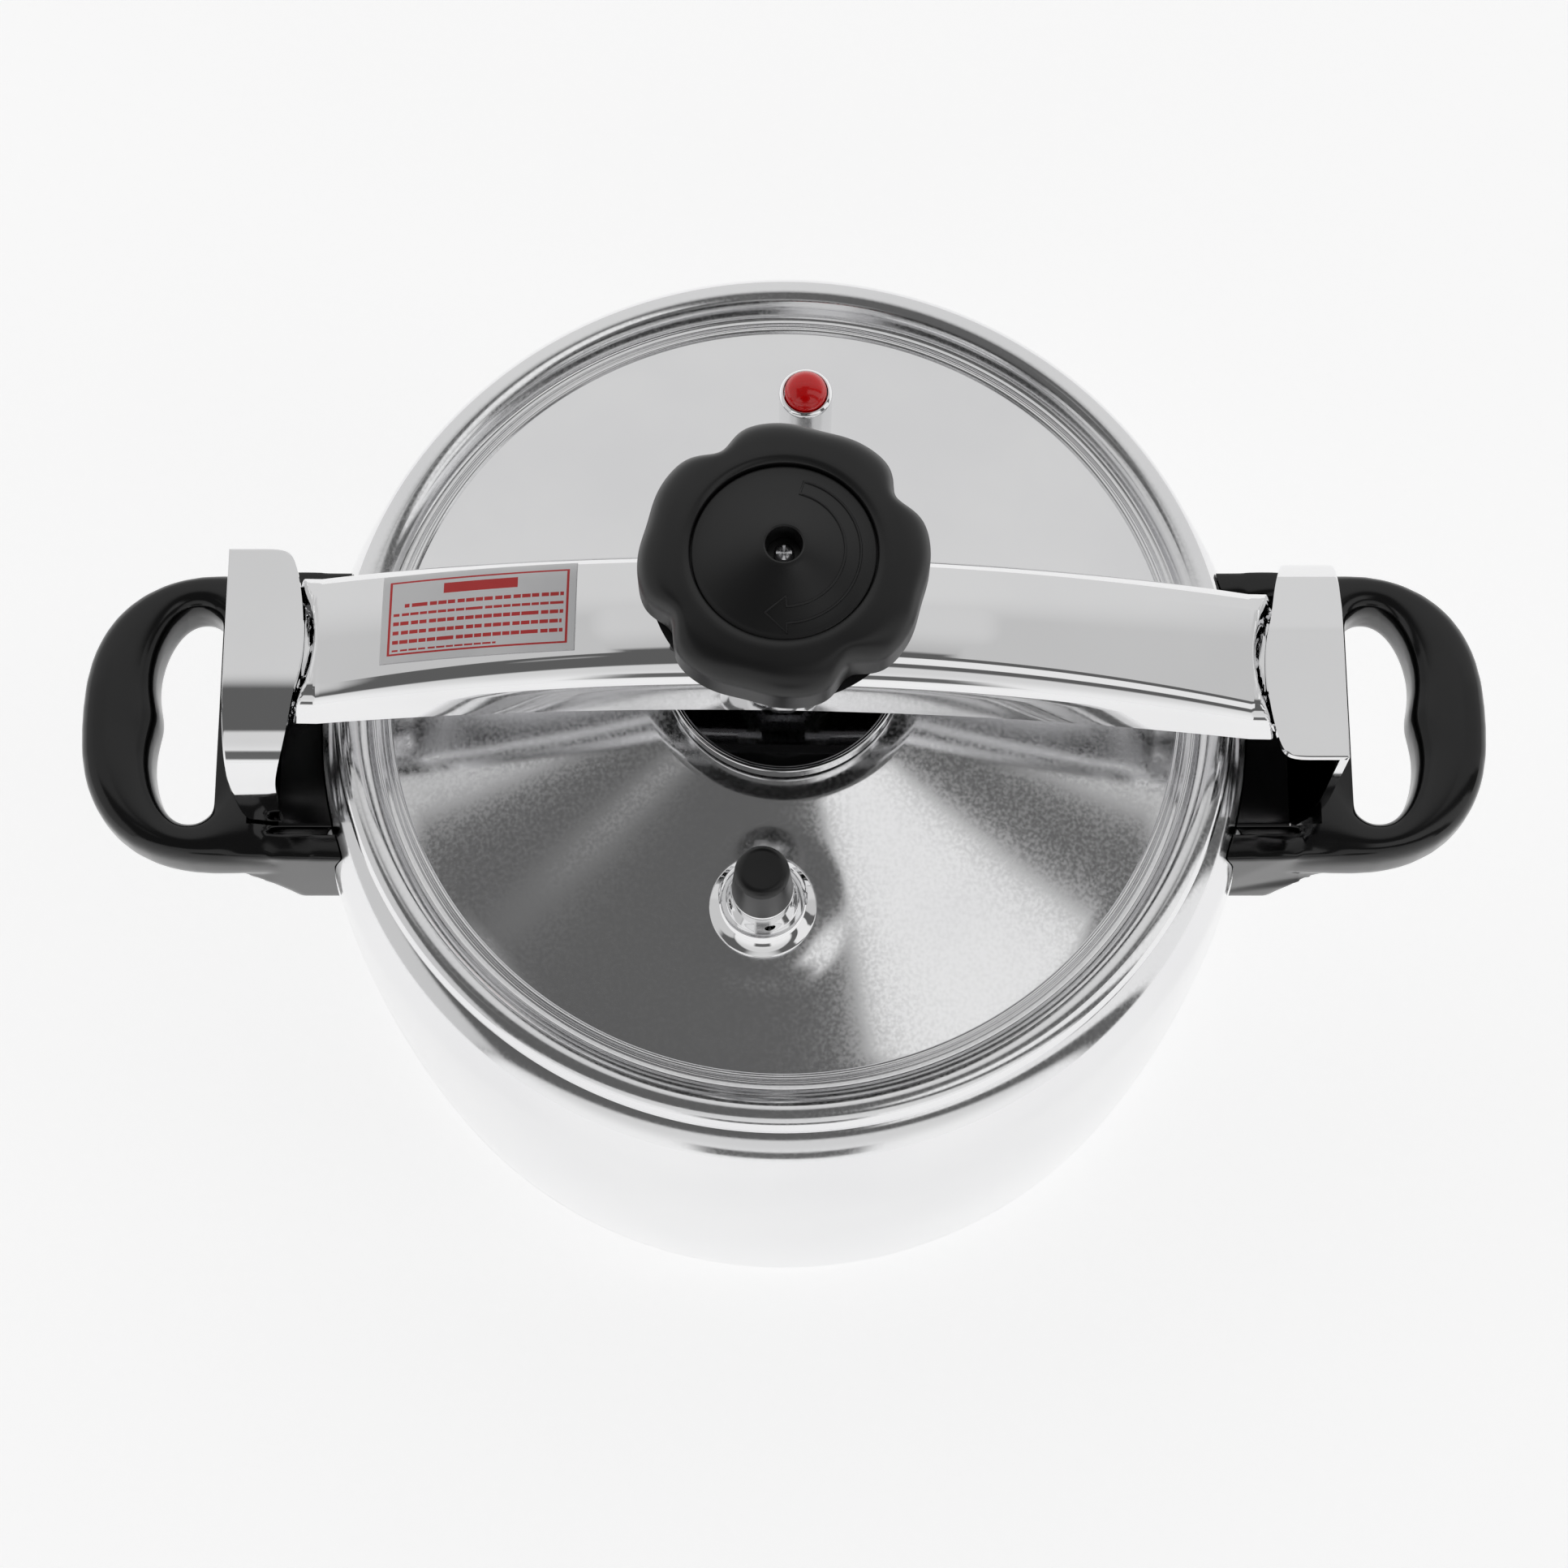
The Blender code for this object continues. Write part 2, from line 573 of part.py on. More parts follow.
def make_hub(materials, frame):
    """Plate, cover and nut that hold the spindle's foot on the lid."""
    floor_top = HUB_PLATE_Z + HUB_FLOOR
    lip_top = HUB_CAP_Z + HUB_CAP_WALL + GAP
    lip_inner = HUB_PLATE_RADIUS - HUB_LIP_WALL
    stud_foot = HUB_PLATE_Z - HUB_STUD_LENGTH
    plate = [
        (0.0, stud_foot),
        (HUB_STUD_RADIUS, stud_foot),
        (HUB_STUD_RADIUS, HUB_PLATE_Z),
        (HUB_PLATE_RADIUS, HUB_PLATE_Z),
        (HUB_PLATE_RADIUS, lip_top),
        (lip_inner, lip_top),
        (lip_inner, floor_top),
        (0.0, floor_top),
    ]
    turned("hub_plate", plate, materials["chromed_steel"], frame, sides=ROUND_KNOB)
    cap_outer = lip_inner - GAP
    cap_inner = SPINDLE_RADIUS + HUB_BORE_CLEARANCE
    cap = [
        (cap_inner, HUB_CAP_Z),
        (cap_outer, HUB_CAP_Z),
        (cap_outer, HUB_CAP_Z + HUB_CAP_WALL),
        (cap_inner, HUB_CAP_Z + HUB_CAP_WALL),
    ]
    turned("hub_cap", cap, materials["chromed_steel"], frame, sides=ROUND_KNOB)
    nut_top = HUB_SEAT_RISE - LID_WALL - GAP
    make_nut("hub_nut", HUB_STUD_RADIUS, nut_top, NUT_HEIGHT, materials["steel"], frame)


def make_nut(name, stud_radius, top, height, material, frame, **place):
    """Hexagon nut below a given height, round a stud."""
    bore = (stud_radius + GAP) / math.cos(math.pi / ROUND_NUT)
    outer = stud_radius + GAP + VALVE_NUT_WALL
    profile = [(bore, top - height), (outer, top - height), (outer, top), (bore, top)]
    turned(name, profile, material, frame, sides=ROUND_NUT, **place)


def make_spindle(materials, frame):
    """Clamping screw, drawn plain at its thread's outer radius, with a collar held in the hub."""
    bore = KNOB_SCREW_RADIUS + GAP
    bore_foot = SPINDLE_TOP - KNOB_SCREW_LENGTH * KNOB_SCREW_BITE
    profile = [
        (0.0, SPINDLE_FOOT),
        (SPINDLE_COLLAR_RADIUS, SPINDLE_FOOT),
        (SPINDLE_COLLAR_RADIUS, SPINDLE_FOOT + SPINDLE_COLLAR_HEIGHT),
        (SPINDLE_RADIUS, SPINDLE_FOOT + SPINDLE_COLLAR_HEIGHT),
        (SPINDLE_RADIUS, SPINDLE_TOP),
        (bore, SPINDLE_TOP),
        (bore, bore_foot),
        (0.0, bore_foot),
    ]
    turned("spindle_screw", profile, materials["steel"], frame)


def knob_radius(angle):
    """Outline of the knob: notches for the fingers, with slight flats between them."""
    pitch = math.tau / KNOB_NOTCHES
    from_notch = (angle + pitch / 2.0) % pitch - pitch / 2.0
    from_flat = angle % pitch - pitch / 2.0
    notch = KNOB_NOTCH_DEPTH * math.exp(-(from_notch / KNOB_NOTCH_SPREAD) ** 2)
    flat = KNOB_FLAT_DEPTH * math.exp(-(from_flat / KNOB_FLAT_SPREAD) ** 2)
    return KNOB_RADIUS - notch - flat


def knob_ring(height, radius=None, inset=0.0):
    """One ring of the knob, round when a radius is given and else following the outline."""
    points = []
    for k in range(ROUND_KNOB):
        angle = math.tau * k / ROUND_KNOB
        reach = radius if radius else knob_radius(angle) - inset
        points.append((reach * math.cos(angle), reach * math.sin(angle), height))
    return points


def make_knob(materials, frame):
    socket = SPINDLE_RADIUS + GAP
    screw_hole = KNOB_SCREW_RADIUS + GAP
    recess = KNOB_DISC_RADIUS + GAP
    socket_top = SPINDLE_TOP + GAP
    rim_bottom = KNOB_BOTTOM - KNOB_RIM_HEIGHT
    side_top = KNOB_TOP - KNOB_FILLET
    rings = [
        knob_ring(KNOB_BOSS_BOTTOM, radius=socket),
        knob_ring(KNOB_BOSS_BOTTOM, radius=KNOB_BOSS_RADIUS),
        knob_ring(rim_bottom, radius=KNOB_BOSS_RADIUS),
        knob_ring(rim_bottom, radius=KNOB_RIM_RADIUS),
        knob_ring(KNOB_BOTTOM, radius=KNOB_RIM_RADIUS),
        knob_ring(KNOB_BOTTOM + KNOB_FOOT_CHAMFER, inset=KNOB_FOOT_CHAMFER / 2.0),
        knob_ring(side_top),
        knob_ring(KNOB_TOP - KNOB_FILLET * 0.35, inset=KNOB_FILLET * 0.25),
        knob_ring(KNOB_TOP - KNOB_FILLET * 0.08, inset=KNOB_FILLET * 0.75),
        knob_ring(KNOB_TOP, radius=recess + KNOB_LIP),
        knob_ring(KNOB_TOP, radius=recess),
        knob_ring(DISC_FLOOR, radius=recess),
        knob_ring(DISC_FLOOR, radius=screw_hole),
        knob_ring(socket_top, radius=screw_hole),
        knob_ring(socket_top, radius=socket),
    ]
    rings_solid("knob", rings, materials["knob_black"], frame, rotation=(0.0, 0.0, KNOB_TURN))
    floor = DISC_FLOOR + GAP
    edge = floor + KNOB_DISC_EDGE
    disc = [
        (KNOB_DISC_HOLE, floor),
        (KNOB_DISC_RADIUS, floor),
        (KNOB_DISC_RADIUS, edge),
        (KNOB_DISC_HOLE, edge + KNOB_DISC_RISE),
    ]
    turned("knob_disc", disc, materials["handle_black"], frame, sides=ROUND_KNOB)
    screw_foot = floor - KNOB_SCREW_LENGTH
    screw = [
        (0.0, screw_foot),
        (KNOB_SCREW_RADIUS, screw_foot),
        (KNOB_SCREW_RADIUS, floor),
        (KNOB_SCREW_HEAD, floor),
        (KNOB_SCREW_HEAD, floor + KNOB_SCREW_HEAD_SIDE),
        (KNOB_SCREW_HEAD * 0.6, floor + KNOB_SCREW_HEAD_HEIGHT - GAP),
        (0.0, floor + KNOB_SCREW_HEAD_HEIGHT),
    ]
    turned("knob_screw", screw, materials["steel"], frame, sides=ROUND_HOLE)
    washer_top = KNOB_BOSS_BOTTOM - GAP
    washer_foot = washer_top - KNOB_WASHER_WALL
    washer = [
        (socket, washer_foot),
        (BUSH_FLANGE_RADIUS - KNOB_WASHER_INSET, washer_foot),
        (BUSH_FLANGE_RADIUS - KNOB_WASHER_INSET, washer_top),
        (socket, washer_top),
    ]
    turned("knob_washer", washer, materials["steel"], frame)


def beam_state(x):
    """Top height, half width and depth of the beam at a distance along it."""
    distance = abs(x)
    share = min(distance / BEAM_SHOULDER, 1.0) ** 2
    top = BEAM_TOP + (BEAM_END_TOP - BEAM_TOP) * share
    half = BEAM_HALF_WIDTH + (BEAM_END_HALF_WIDTH - BEAM_HALF_WIDTH) * share
    depth = BEAM_DEPTH + (BEAM_END_DEPTH - BEAM_DEPTH) * share
    step = min(max((distance - BEAM_SHOULDER) / TONGUE_STEP, 0.0), 1.0)
    top += (TONGUE_TOP - BEAM_END_TOP) * step
    half += (TONGUE_HALF_WIDTH - BEAM_END_HALF_WIDTH) * step
    depth += (TONGUE_DEPTH - BEAM_END_DEPTH) * step
    return top, half, depth


def beam_corner(depth):
    """Radius of the rounded shoulder where the beam is this deep."""
    return min(BEAM_CORNER, depth - BEAM_MIN_SIDE)


def beam_surface(x, y):
    """Height of the beam's top face, which rounds off at both sides."""
    top, half, depth = beam_state(x)
    corner = beam_corner(depth)
    past_flat = min(max(abs(y) - (half - corner), 0.0), corner)
    return top - corner + math.sqrt(corner ** 2 - past_flat ** 2)


def beam_section(x, wall):
    """Channel section at one place along the beam, moved in by a wall thickness."""
    top, half, depth = beam_state(x)
    corner = beam_corner(depth)
    side = half - wall
    bend = corner - wall
    right = ellipse_arc(half - corner, top - corner, bend, bend, 0, 90, BEAM_CORNER_STEPS)
    left = [(-y, z) for y, z in right[::-1]]
    section = [(side, top - depth)] + right + left + [(-side, top - depth)]
    return [(x, y, z) for y, z in section]


def make_beam(materials, frame):
    half = [BEAM_SHOULDER * k / 7 for k in range(8)]
    half += [BEAM_SHOULDER + TONGUE_STEP, TONGUE_END]
    stations = [-x for x in half[:0:-1]] + half
    outer = [beam_section(x, 0.0) for x in stations]
    inner = [beam_section(x, BEAM_WALL) for x in stations]
    beam = sheet_solid("beam", outer, inner, materials["chromed_steel"], frame)
    drill([beam], "bush_hole", BUSH_RADIUS + GAP, BEAM_TOP - BEAM_DEPTH, BEAM_TOP + BEAM_DEPTH, frame,
          sides=ROUND_SMALL)


def make_bush(materials, frame):
    """Threaded bush in the beam, and the nut that clamps it from below."""
    bore = SPINDLE_RADIUS + RUNNING_GAP
    bush = [
        (bore, BUSH_Z - BUSH_LENGTH),
        (BUSH_RADIUS, BUSH_Z - BUSH_LENGTH),
        (BUSH_RADIUS, BUSH_Z),
        (BUSH_FLANGE_RADIUS, BUSH_Z),
        (BUSH_FLANGE_RADIUS, BUSH_Z + BUSH_FLANGE_HEIGHT),
        (bore, BUSH_Z + BUSH_FLANGE_HEIGHT),
    ]
    turned("beam_bush", bush, materials["steel"], frame)
    nut_bore = (BUSH_RADIUS + GAP) / math.cos(math.pi / ROUND_NUT)
    arch_drop = (BEAM_TOP - BEAM_END_TOP) * (BEAM_NUT_RADIUS / BEAM_SHOULDER) ** 2
    past_flat = max(BEAM_NUT_RADIUS - (BEAM_HALF_WIDTH - BEAM_CORNER), 0.0)
    corner_drop = past_flat * math.tan(QUARTER_TURN / (2 * BEAM_CORNER_STEPS))
    nut_top = BEAM_TOP - BEAM_WALL - GAP - arch_drop - corner_drop
    nut_foot = nut_top - BEAM_NUT_HEIGHT
    nut = [
        (nut_bore, nut_foot),
        (BEAM_NUT_RADIUS, nut_foot),
        (BEAM_NUT_RADIUS, nut_top),
        (nut_bore, nut_top),
    ]
    turned("beam_nut", nut, materials["steel"], frame, sides=ROUND_NUT)


def make_label(materials, frame):
    """Thin sticker that follows the beam's arched top and its rounded shoulder."""
    steps = 8
    columns = 12
    sides = [LABEL_Y + LABEL_WIDTH * (k / columns - 0.5) for k in range(columns + 1)]
    under = []
    for k in range(steps + 1):
        x = LABEL_X + LABEL_LENGTH * (k / steps - 0.5)
        under.append([(x, y, beam_surface(x, y) + GAP) for y in sides])
    upper = [[(x, y, z + LABEL_WALL) for x, y, z in row] for row in under]
    sheet_solid("label", upper, under, materials["label_white"], frame)


def ear_path():
    """Outer face of the ear from the flange's inner edge to the knee, as (x, height)."""
    path = [(EAR_IN, EAR_TOP)]
    middle_x = EAR_OUT - EAR_CORNER
    middle_z = EAR_TOP - EAR_CORNER
    path += ellipse_arc(middle_x, middle_z, EAR_CORNER, EAR_CORNER, 90, 0, 3)
    path.append((EAR_OUT, -EAR_KNEE_DROP))
    return path


def foot_radius(drop):
    """Radius of the foot's outer face, which lies along the pot's wall."""
    return wall_radius(RIM_HEIGHT - drop) + GAP + EAR_WALL


def ear_section(y):
    """Outer face of the ear at one place across it, following the round wall at its foot."""
    path = ear_path()
    knee_x, knee_z = path[-1]
    foot = [(foot_radius(drop), -drop) for drop in (EAR_FOOT_TOP_DROP, EAR_FOOT_DROP)]
    foot_x, foot_z = foot[0]
    middle = ((knee_x + foot_x) / 2.0 + EAR_KNEE_BOW, (knee_z + foot_z) / 2.0)
    section = path + [middle] + foot
    shares = [0.0] * len(path) + [0.5, 1.0, 1.0]
    curved = []
    for (x, z), share in zip(section, shares):
        sag = foot_x - math.sqrt(foot_x ** 2 - y ** 2)
        curved.append((x - sag * share, z))
    return curved


def make_ear(name, materials, frame):
    steps = 6
    sides = [EAR_OPEN_SIDE + (EAR_CLOSED_SIDE - EAR_OPEN_SIDE) * k / steps for k in range(steps + 1)]
    outer = [[(x, y, z) for x, z in ear_section(y)] for y in sides]
    inner = []
    for y in sides:
        inner.append([(x, y, z) for x, z in offset_path(ear_section(y), EAR_WALL)])
    ear = sheet_solid(name, outer, inner, materials["chromed_steel"], frame)
    inside = EAR_WALL * 0.4
    top = EAR_TOP - inside
    web = EAR_OUT - inside
    low = EAR_TOP - EAR_STOP_DEPTH
    outline = [
        (EAR_IN + EAR_STOP_INSET, top),
        (EAR_IN + EAR_STOP_INSET, top - EAR_STOP_DEPTH / 2.0),
        (web - EAR_STOP_FOOT, low),
        (web, low),
        (web, top),
    ]
    far = EAR_CLOSED_SIDE - 0.1 * MM
    stop = as_tool(upright(name + "_stop", outline, far - EAR_WALL, far, None, frame))
    combine(ear, stop, "UNION")
    return ear


def rivet_places():
    """Angle of each rivet round the pot, spaced about the middle of the ear's foot."""
    middle = (EAR_OPEN_SIDE + EAR_CLOSED_SIDE) / 2.0
    radius = foot_radius(RIVET_DROP)
    places = []
    for k in range(RIVET_COUNT):
        side = middle + (k - (RIVET_COUNT - 1) / 2.0) * RIVET_SPACING
        places.append(math.asin(side / radius))
    return places


def make_rivets(suffix, holed, materials, frame):
    """Rivets through the ear's foot and the pot's wall, each on a radius of the pot."""
    outer = foot_radius(RIVET_DROP) + GAP
    inner = wall_radius(RIM_HEIGHT - RIVET_DROP) - POT_WALL - FACET_GAP
    head = RIVET_HEAD_RADIUS
    profile = [
        (0.0, inner - RIVET_HEAD_HEIGHT * 0.6),
        (head * 0.9, inner - RIVET_HEAD_HEIGHT * 0.6),
        (head * 0.9, inner),
        (RIVET_RADIUS, inner),
        (RIVET_RADIUS, outer),
        (head, outer),
        (head * 0.75, outer + RIVET_HEAD_HEIGHT * 0.7),
        (0.0, outer + RIVET_HEAD_HEIGHT),
    ]
    for k, angle in enumerate(rivet_places()):
        place = {"location": (0.0, 0.0, -RIVET_DROP), "rotation": (0.0, QUARTER_TURN, angle)}
        number = f"{suffix}_{k + 1}"
        turned("ear_rivet_" + number, profile, materials["steel"], frame, sides=ROUND_HOLE, **place)
        drill(holed, "rivet_hole_" + number, RIVET_RADIUS + GAP, inner - BASE_CORNER, EAR_OUT, frame, **place)


def handle_outline():
    """Plan of the handle: a rounded end, arms that widen to the pot, and the pocket between them."""
    middle = HANDLE_OUT - HANDLE_ROUND
    power = 2.0 / HANDLE_POWER
    end = []
    steps = 18
    for k in range(steps + 1):
        angle = math.pi * (k / steps - 0.5)
        across = math.copysign(abs(math.sin(angle)) ** power, math.sin(angle))
        end.append((middle + HANDLE_ROUND * math.cos(angle) ** power, HANDLE_HALF_WIDTH * across))
    root = POT_RADIUS - 2.0 * NECK_INSET
    pocket = POT_RADIUS + POCKET_STANDOFF
    before = [(root, -HANDLE_ROOT_HALF_WIDTH), (POT_RADIUS, -HANDLE_ROOT_HALF_WIDTH)]
    after = [(POT_RADIUS, HANDLE_ROOT_HALF_WIDTH), (root, HANDLE_ROOT_HALF_WIDTH)]
    notch = [
        (root, POCKET_HALF_WIDTH),
        (pocket, POCKET_HALF_WIDTH),
        (pocket, -POCKET_HALF_WIDTH),
        (root, -POCKET_HALF_WIDTH),
    ]
    return before + end + after + notch


def finger_hole_outline():
    """Bean-shaped hole: straight at the grip with a slight bulge, and round towards the pot."""
    power = 2.0 / HOLE_POWER
    split = HOLE_OUT - HOLE_OUTER_ROUND
    inner_length = HOLE_LENGTH - HOLE_OUTER_ROUND
    steps = 24
    points = []
    for k in range(steps):
        angle = math.tau * k / steps
        along = math.cos(angle)
        across = math.sin(angle)
        reach = HOLE_OUTER_ROUND if along > 0.0 else inner_length
        x = split + math.copysign(reach * abs(along) ** power, along)
        y = HOLE_HALF_WIDTH * math.copysign(abs(across) ** power, across)
        if along > 0.0:
            x -= HOLE_GRIP_BULGE * math.exp(-(y / (HOLE_HALF_WIDTH * 0.4)) ** 2)
        points.append((x, y))
    return points


def leg_pocket_outline():
    """Side view of the space that the ear's leg takes, with its clearance."""
    section = offset_path(ear_section(0.0), -LEG_CLEARANCE)
    leg = [(x, z) for x, z in section if z < -EAR_KNEE_DROP * 0.9]
    inside = POT_RADIUS - 2.0 * NECK_INSET
    return [(inside, 0.0), (leg[0][0], 0.0)] + leg + [(inside, leg[-1][1])]


def make_handle(name, materials, frame, pot_clearance):
    top = -HANDLE_TOP_DROP
    low = top - HANDLE_THICKNESS
    hole = as_tool(extruded(name + "_hole", finger_hole_outline(), low - HANDLE_BEVEL, top + HANDLE_BEVEL,
                            None, frame))
    handle = extruded(name, handle_outline(), low, top, materials["handle_black"], frame)
    combine(handle, hole, "DIFFERENCE")
    bevel(handle, HANDLE_BEVEL, 2, math.radians(50.0))
    inner = POCKET_HALF_WIDTH + ROOT_INSET
    outer = HANDLE_ROOT_HALF_WIDTH - ROOT_INSET
    inside = POT_RADIUS - 2.0 * NECK_INSET
    face = POT_RADIUS + ROOT_STANDOFF
    leg_side = -EAR_OPEN_SIDE + LEG_SIDE_CLEARANCE
    leg = as_tool(upright(name + "_leg", leg_pocket_outline(), -leg_side, leg_side, None, frame))
    for side in (-1, 1):
        near, far = sorted((side * inner, side * outer))
        block = [(inside, near), (face, near), (face, far), (inside, far)]
        root = as_tool(extruded(f"{name}_root{side}", block, -ROOT_DROP, top - HANDLE_THICKNESS / 2.0,
                                None, frame))
        combine(handle, root, "UNION")
    combine(handle, leg, "DIFFERENCE")
    combine(handle, pot_clearance, "DIFFERENCE")
    return handle


def make_studs(suffix, handle, materials, frame):
    """Studs welded to the pot's wall, and the cap nuts that hold the handle on them."""
    wall = wall_radius(RIM_HEIGHT - STUD_DROP)
    nearest = STUD_SIDE - STUD_RADIUS
    foot = math.sqrt(wall ** 2 - nearest ** 2) + GAP
    face = POT_RADIUS + ROOT_STANDOFF + GAP
    nut_end = face + STUD_NUT_LENGTH
    stud_end = nut_end - STUD_NUT_CAP
    stud = [(0.0, foot), (STUD_RADIUS, foot), (STUD_RADIUS, stud_end), (0.0, stud_end)]
    bore = STUD_RADIUS + GAP
    nut = [
        (bore, face),
        (STUD_NUT_RADIUS, face),
        (STUD_NUT_RADIUS, nut_end - STUD_NUT_ROUND),
        (STUD_NUT_RADIUS * 0.6, nut_end),
        (0.0, nut_end),
        (0.0, stud_end + GAP),
        (bore, stud_end + GAP),
    ]
    for end, side in (("front", -1), ("back", 1)):
        place = {"location": (0.0, side * STUD_SIDE, -STUD_DROP), "rotation": (0.0, QUARTER_TURN, 0.0)}
        number = f"{suffix}_{end}"
        turned("handle_stud_" + number, stud, materials["steel"], frame, sides=ROUND_HOLE, **place)
        turned("handle_nut_" + number, nut, materials["chromed_steel"], frame, sides=ROUND_HOLE,
               closed=True, **place)
        drill([handle], "stud_hole_" + number, bore, foot - POT_WALL, nut_end, frame, **place)


def make_vent(materials, frame):
    """Vent pipe through the lid, with its nut and its strainer below."""
    flange_foot = cone_height(WEIGHT_PLACE - PIPE_FLANGE_RADIUS) + GAP
    nut_radius = PIPE_RADIUS + GAP + VALVE_NUT_WALL
    nut_top = cone_height(WEIGHT_PLACE + nut_radius) - cone_wall() - GAP
    tail = nut_top - NUT_HEIGHT - PIPE_TAIL
    flange_top = flange_foot + PIPE_FLANGE_HEIGHT
    pipe = [
        (PIPE_BORE, tail),
        (PIPE_RADIUS, tail),
        (PIPE_RADIUS, flange_foot),
        (PIPE_FLANGE_RADIUS, flange_foot),
        (PIPE_FLANGE_RADIUS, flange_top),
        (PIPE_RADIUS, flange_top),
        (PIPE_RADIUS, PIPE_TOP),
        (PIPE_BORE, PIPE_TOP),
    ]
    turned("vent_pipe", pipe, materials["steel"], frame)
    make_nut("vent_nut", PIPE_RADIUS, nut_top, NUT_HEIGHT, materials["steel"], frame)
    neck = PIPE_RADIUS + GAP
    screen_top = tail + PIPE_TAIL - GAP
    screen_foot = tail - SCREEN_DROP
    wall = SCREEN_WALL
    screen = [
        (0.0, screen_foot),
        (SCREEN_RADIUS, screen_foot),
        (SCREEN_RADIUS, screen_top),
        (neck, screen_top),
        (neck, screen_top - wall),
        (SCREEN_RADIUS - wall, screen_top - wall),
        (SCREEN_RADIUS - wall, screen_foot + wall),
        (0.0, screen_foot + wall),
    ]
    strainer = turned("vent_strainer", screen, materials["steel"], frame)
    slot_low = screen_foot + 2.0 * wall
    slot_high = screen_top - 2.0 * wall
    outline = [(-2.0 * SCREEN_RADIUS, slot_low), (2.0 * SCREEN_RADIUS, slot_low),
               (2.0 * SCREEN_RADIUS, slot_high), (-2.0 * SCREEN_RADIUS, slot_high)]
    slot = as_tool(upright("strainer_slot", outline, -SCREEN_SLOT, SCREEN_SLOT, None, frame))
    combine(strainer, slot, "DIFFERENCE")


def make_weight(materials, frame):
    """Weighted bell with its black cap, and the needle that closes the vent pipe."""
    skirt_foot = cone_height(WEIGHT_PLACE - SKIRT_RADIUS) + SKIRT_GAP
    plug_foot = BELL_TOP - BELL_PLUG
    stem_hole = NEEDLE_STEM + GAP
    inner = BELL_RADIUS - BELL_WALL
    bell = [
        (stem_hole, BELL_TOP),
        (stem_hole, plug_foot),
        (inner, plug_foot),
        (inner, skirt_foot + SKIRT_THROAT),
        (SKIRT_RADIUS - BELL_WALL, skirt_foot),
        (SKIRT_RADIUS, skirt_foot),
        (SKIRT_RADIUS, skirt_foot + SKIRT_EDGE),
        *[(BELL_RADIUS + SKIRT_LIP * share, skirt_foot + rise) for share, rise in SKIRT_FLARE],
        (BELL_RADIUS, BELL_TOP),
    ]
    body = turned("weight_bell", bell, materials["chromed_steel"], frame)
    for k in range(BELL_HOLES):
        angle = BELL_HOLE_TURN + math.tau * k / BELL_HOLES
        drill([body], f"bell_hole_{k + 1}", BELL_HOLE_RADIUS, NEEDLE_SHOULDER, SKIRT_RADIUS, frame,
              sides=8, location=(0.0, 0.0, BELL_HOLE_RISE), rotation=(0.0, QUARTER_TURN, angle))
    cap_foot = BELL_TOP + GAP
    bore_top = cap_foot + WEIGHT_CAP_BORE
    cap = [
        (stem_hole, cap_foot),
        (WEIGHT_CAP_RADIUS, cap_foot),
        (WEIGHT_CAP_TOP_RADIUS, WEIGHT_CAP_TOP - WEIGHT_CAP_ROUND),
        (WEIGHT_CAP_TOP_RADIUS - WEIGHT_CAP_ROUND, WEIGHT_CAP_TOP),
        (0.0, WEIGHT_CAP_TOP),
        (0.0, bore_top),
        (stem_hole, bore_top),
    ]
    turned("weight_cap", cap, materials["knob_black"], frame, closed=True)
    seat = PIPE_TOP + GAP
    shoulder_top = plug_foot - GAP
    stem_top = bore_top - GAP
    needle = [
        (0.0, PIPE_TOP - NEEDLE_REACH),
        (NEEDLE_RADIUS, PIPE_TOP - NEEDLE_REACH + NEEDLE_POINT),
        (NEEDLE_RADIUS, seat),
        (NEEDLE_SHOULDER, seat),
        (NEEDLE_SHOULDER, shoulder_top),
        (NEEDLE_STEM, shoulder_top),
        (NEEDLE_STEM, stem_top),
        (0.0, stem_top),
    ]
    turned("weight_needle", needle, materials["steel"], frame, sides=ROUND_HOLE)


def make_indicator_housing(materials, frame):
    """Bright tube on the lid with a well for the button, and its nut below the lid."""
    foot = cone_height(INDICATOR_PLACE - HOUSING_RADIUS) + GAP
    nut_radius = HOUSING_STEM_RADIUS + GAP + VALVE_NUT_WALL
    nut_top = cone_height(INDICATOR_PLACE + nut_radius) - cone_wall() - GAP
    stem_foot = nut_top - NUT_HEIGHT - STEM_TAIL
    well = BUTTON_RADIUS + RUNNING_GAP
    pin_hole = PIN_RADIUS + RUNNING_GAP
    well_floor = HOUSING_TOP - BUTTON_WELL
    profile = [
        (pin_hole, stem_foot),
        (HOUSING_STEM_RADIUS, stem_foot),
        (HOUSING_STEM_RADIUS, foot),
        (HOUSING_RADIUS, foot),
        (HOUSING_RADIUS, HOUSING_TOP - HOUSING_CHAMFER),
        (HOUSING_RADIUS - HOUSING_CHAMFER, HOUSING_TOP),
        (well, HOUSING_TOP),
        (well, well_floor),
        (pin_hole, well_floor),
    ]
    turned("indicator_housing", profile, materials["chromed_steel"], frame)
    make_nut("indicator_nut", HOUSING_STEM_RADIUS, nut_top, NUT_HEIGHT, materials["steel"], frame)
    return stem_foot


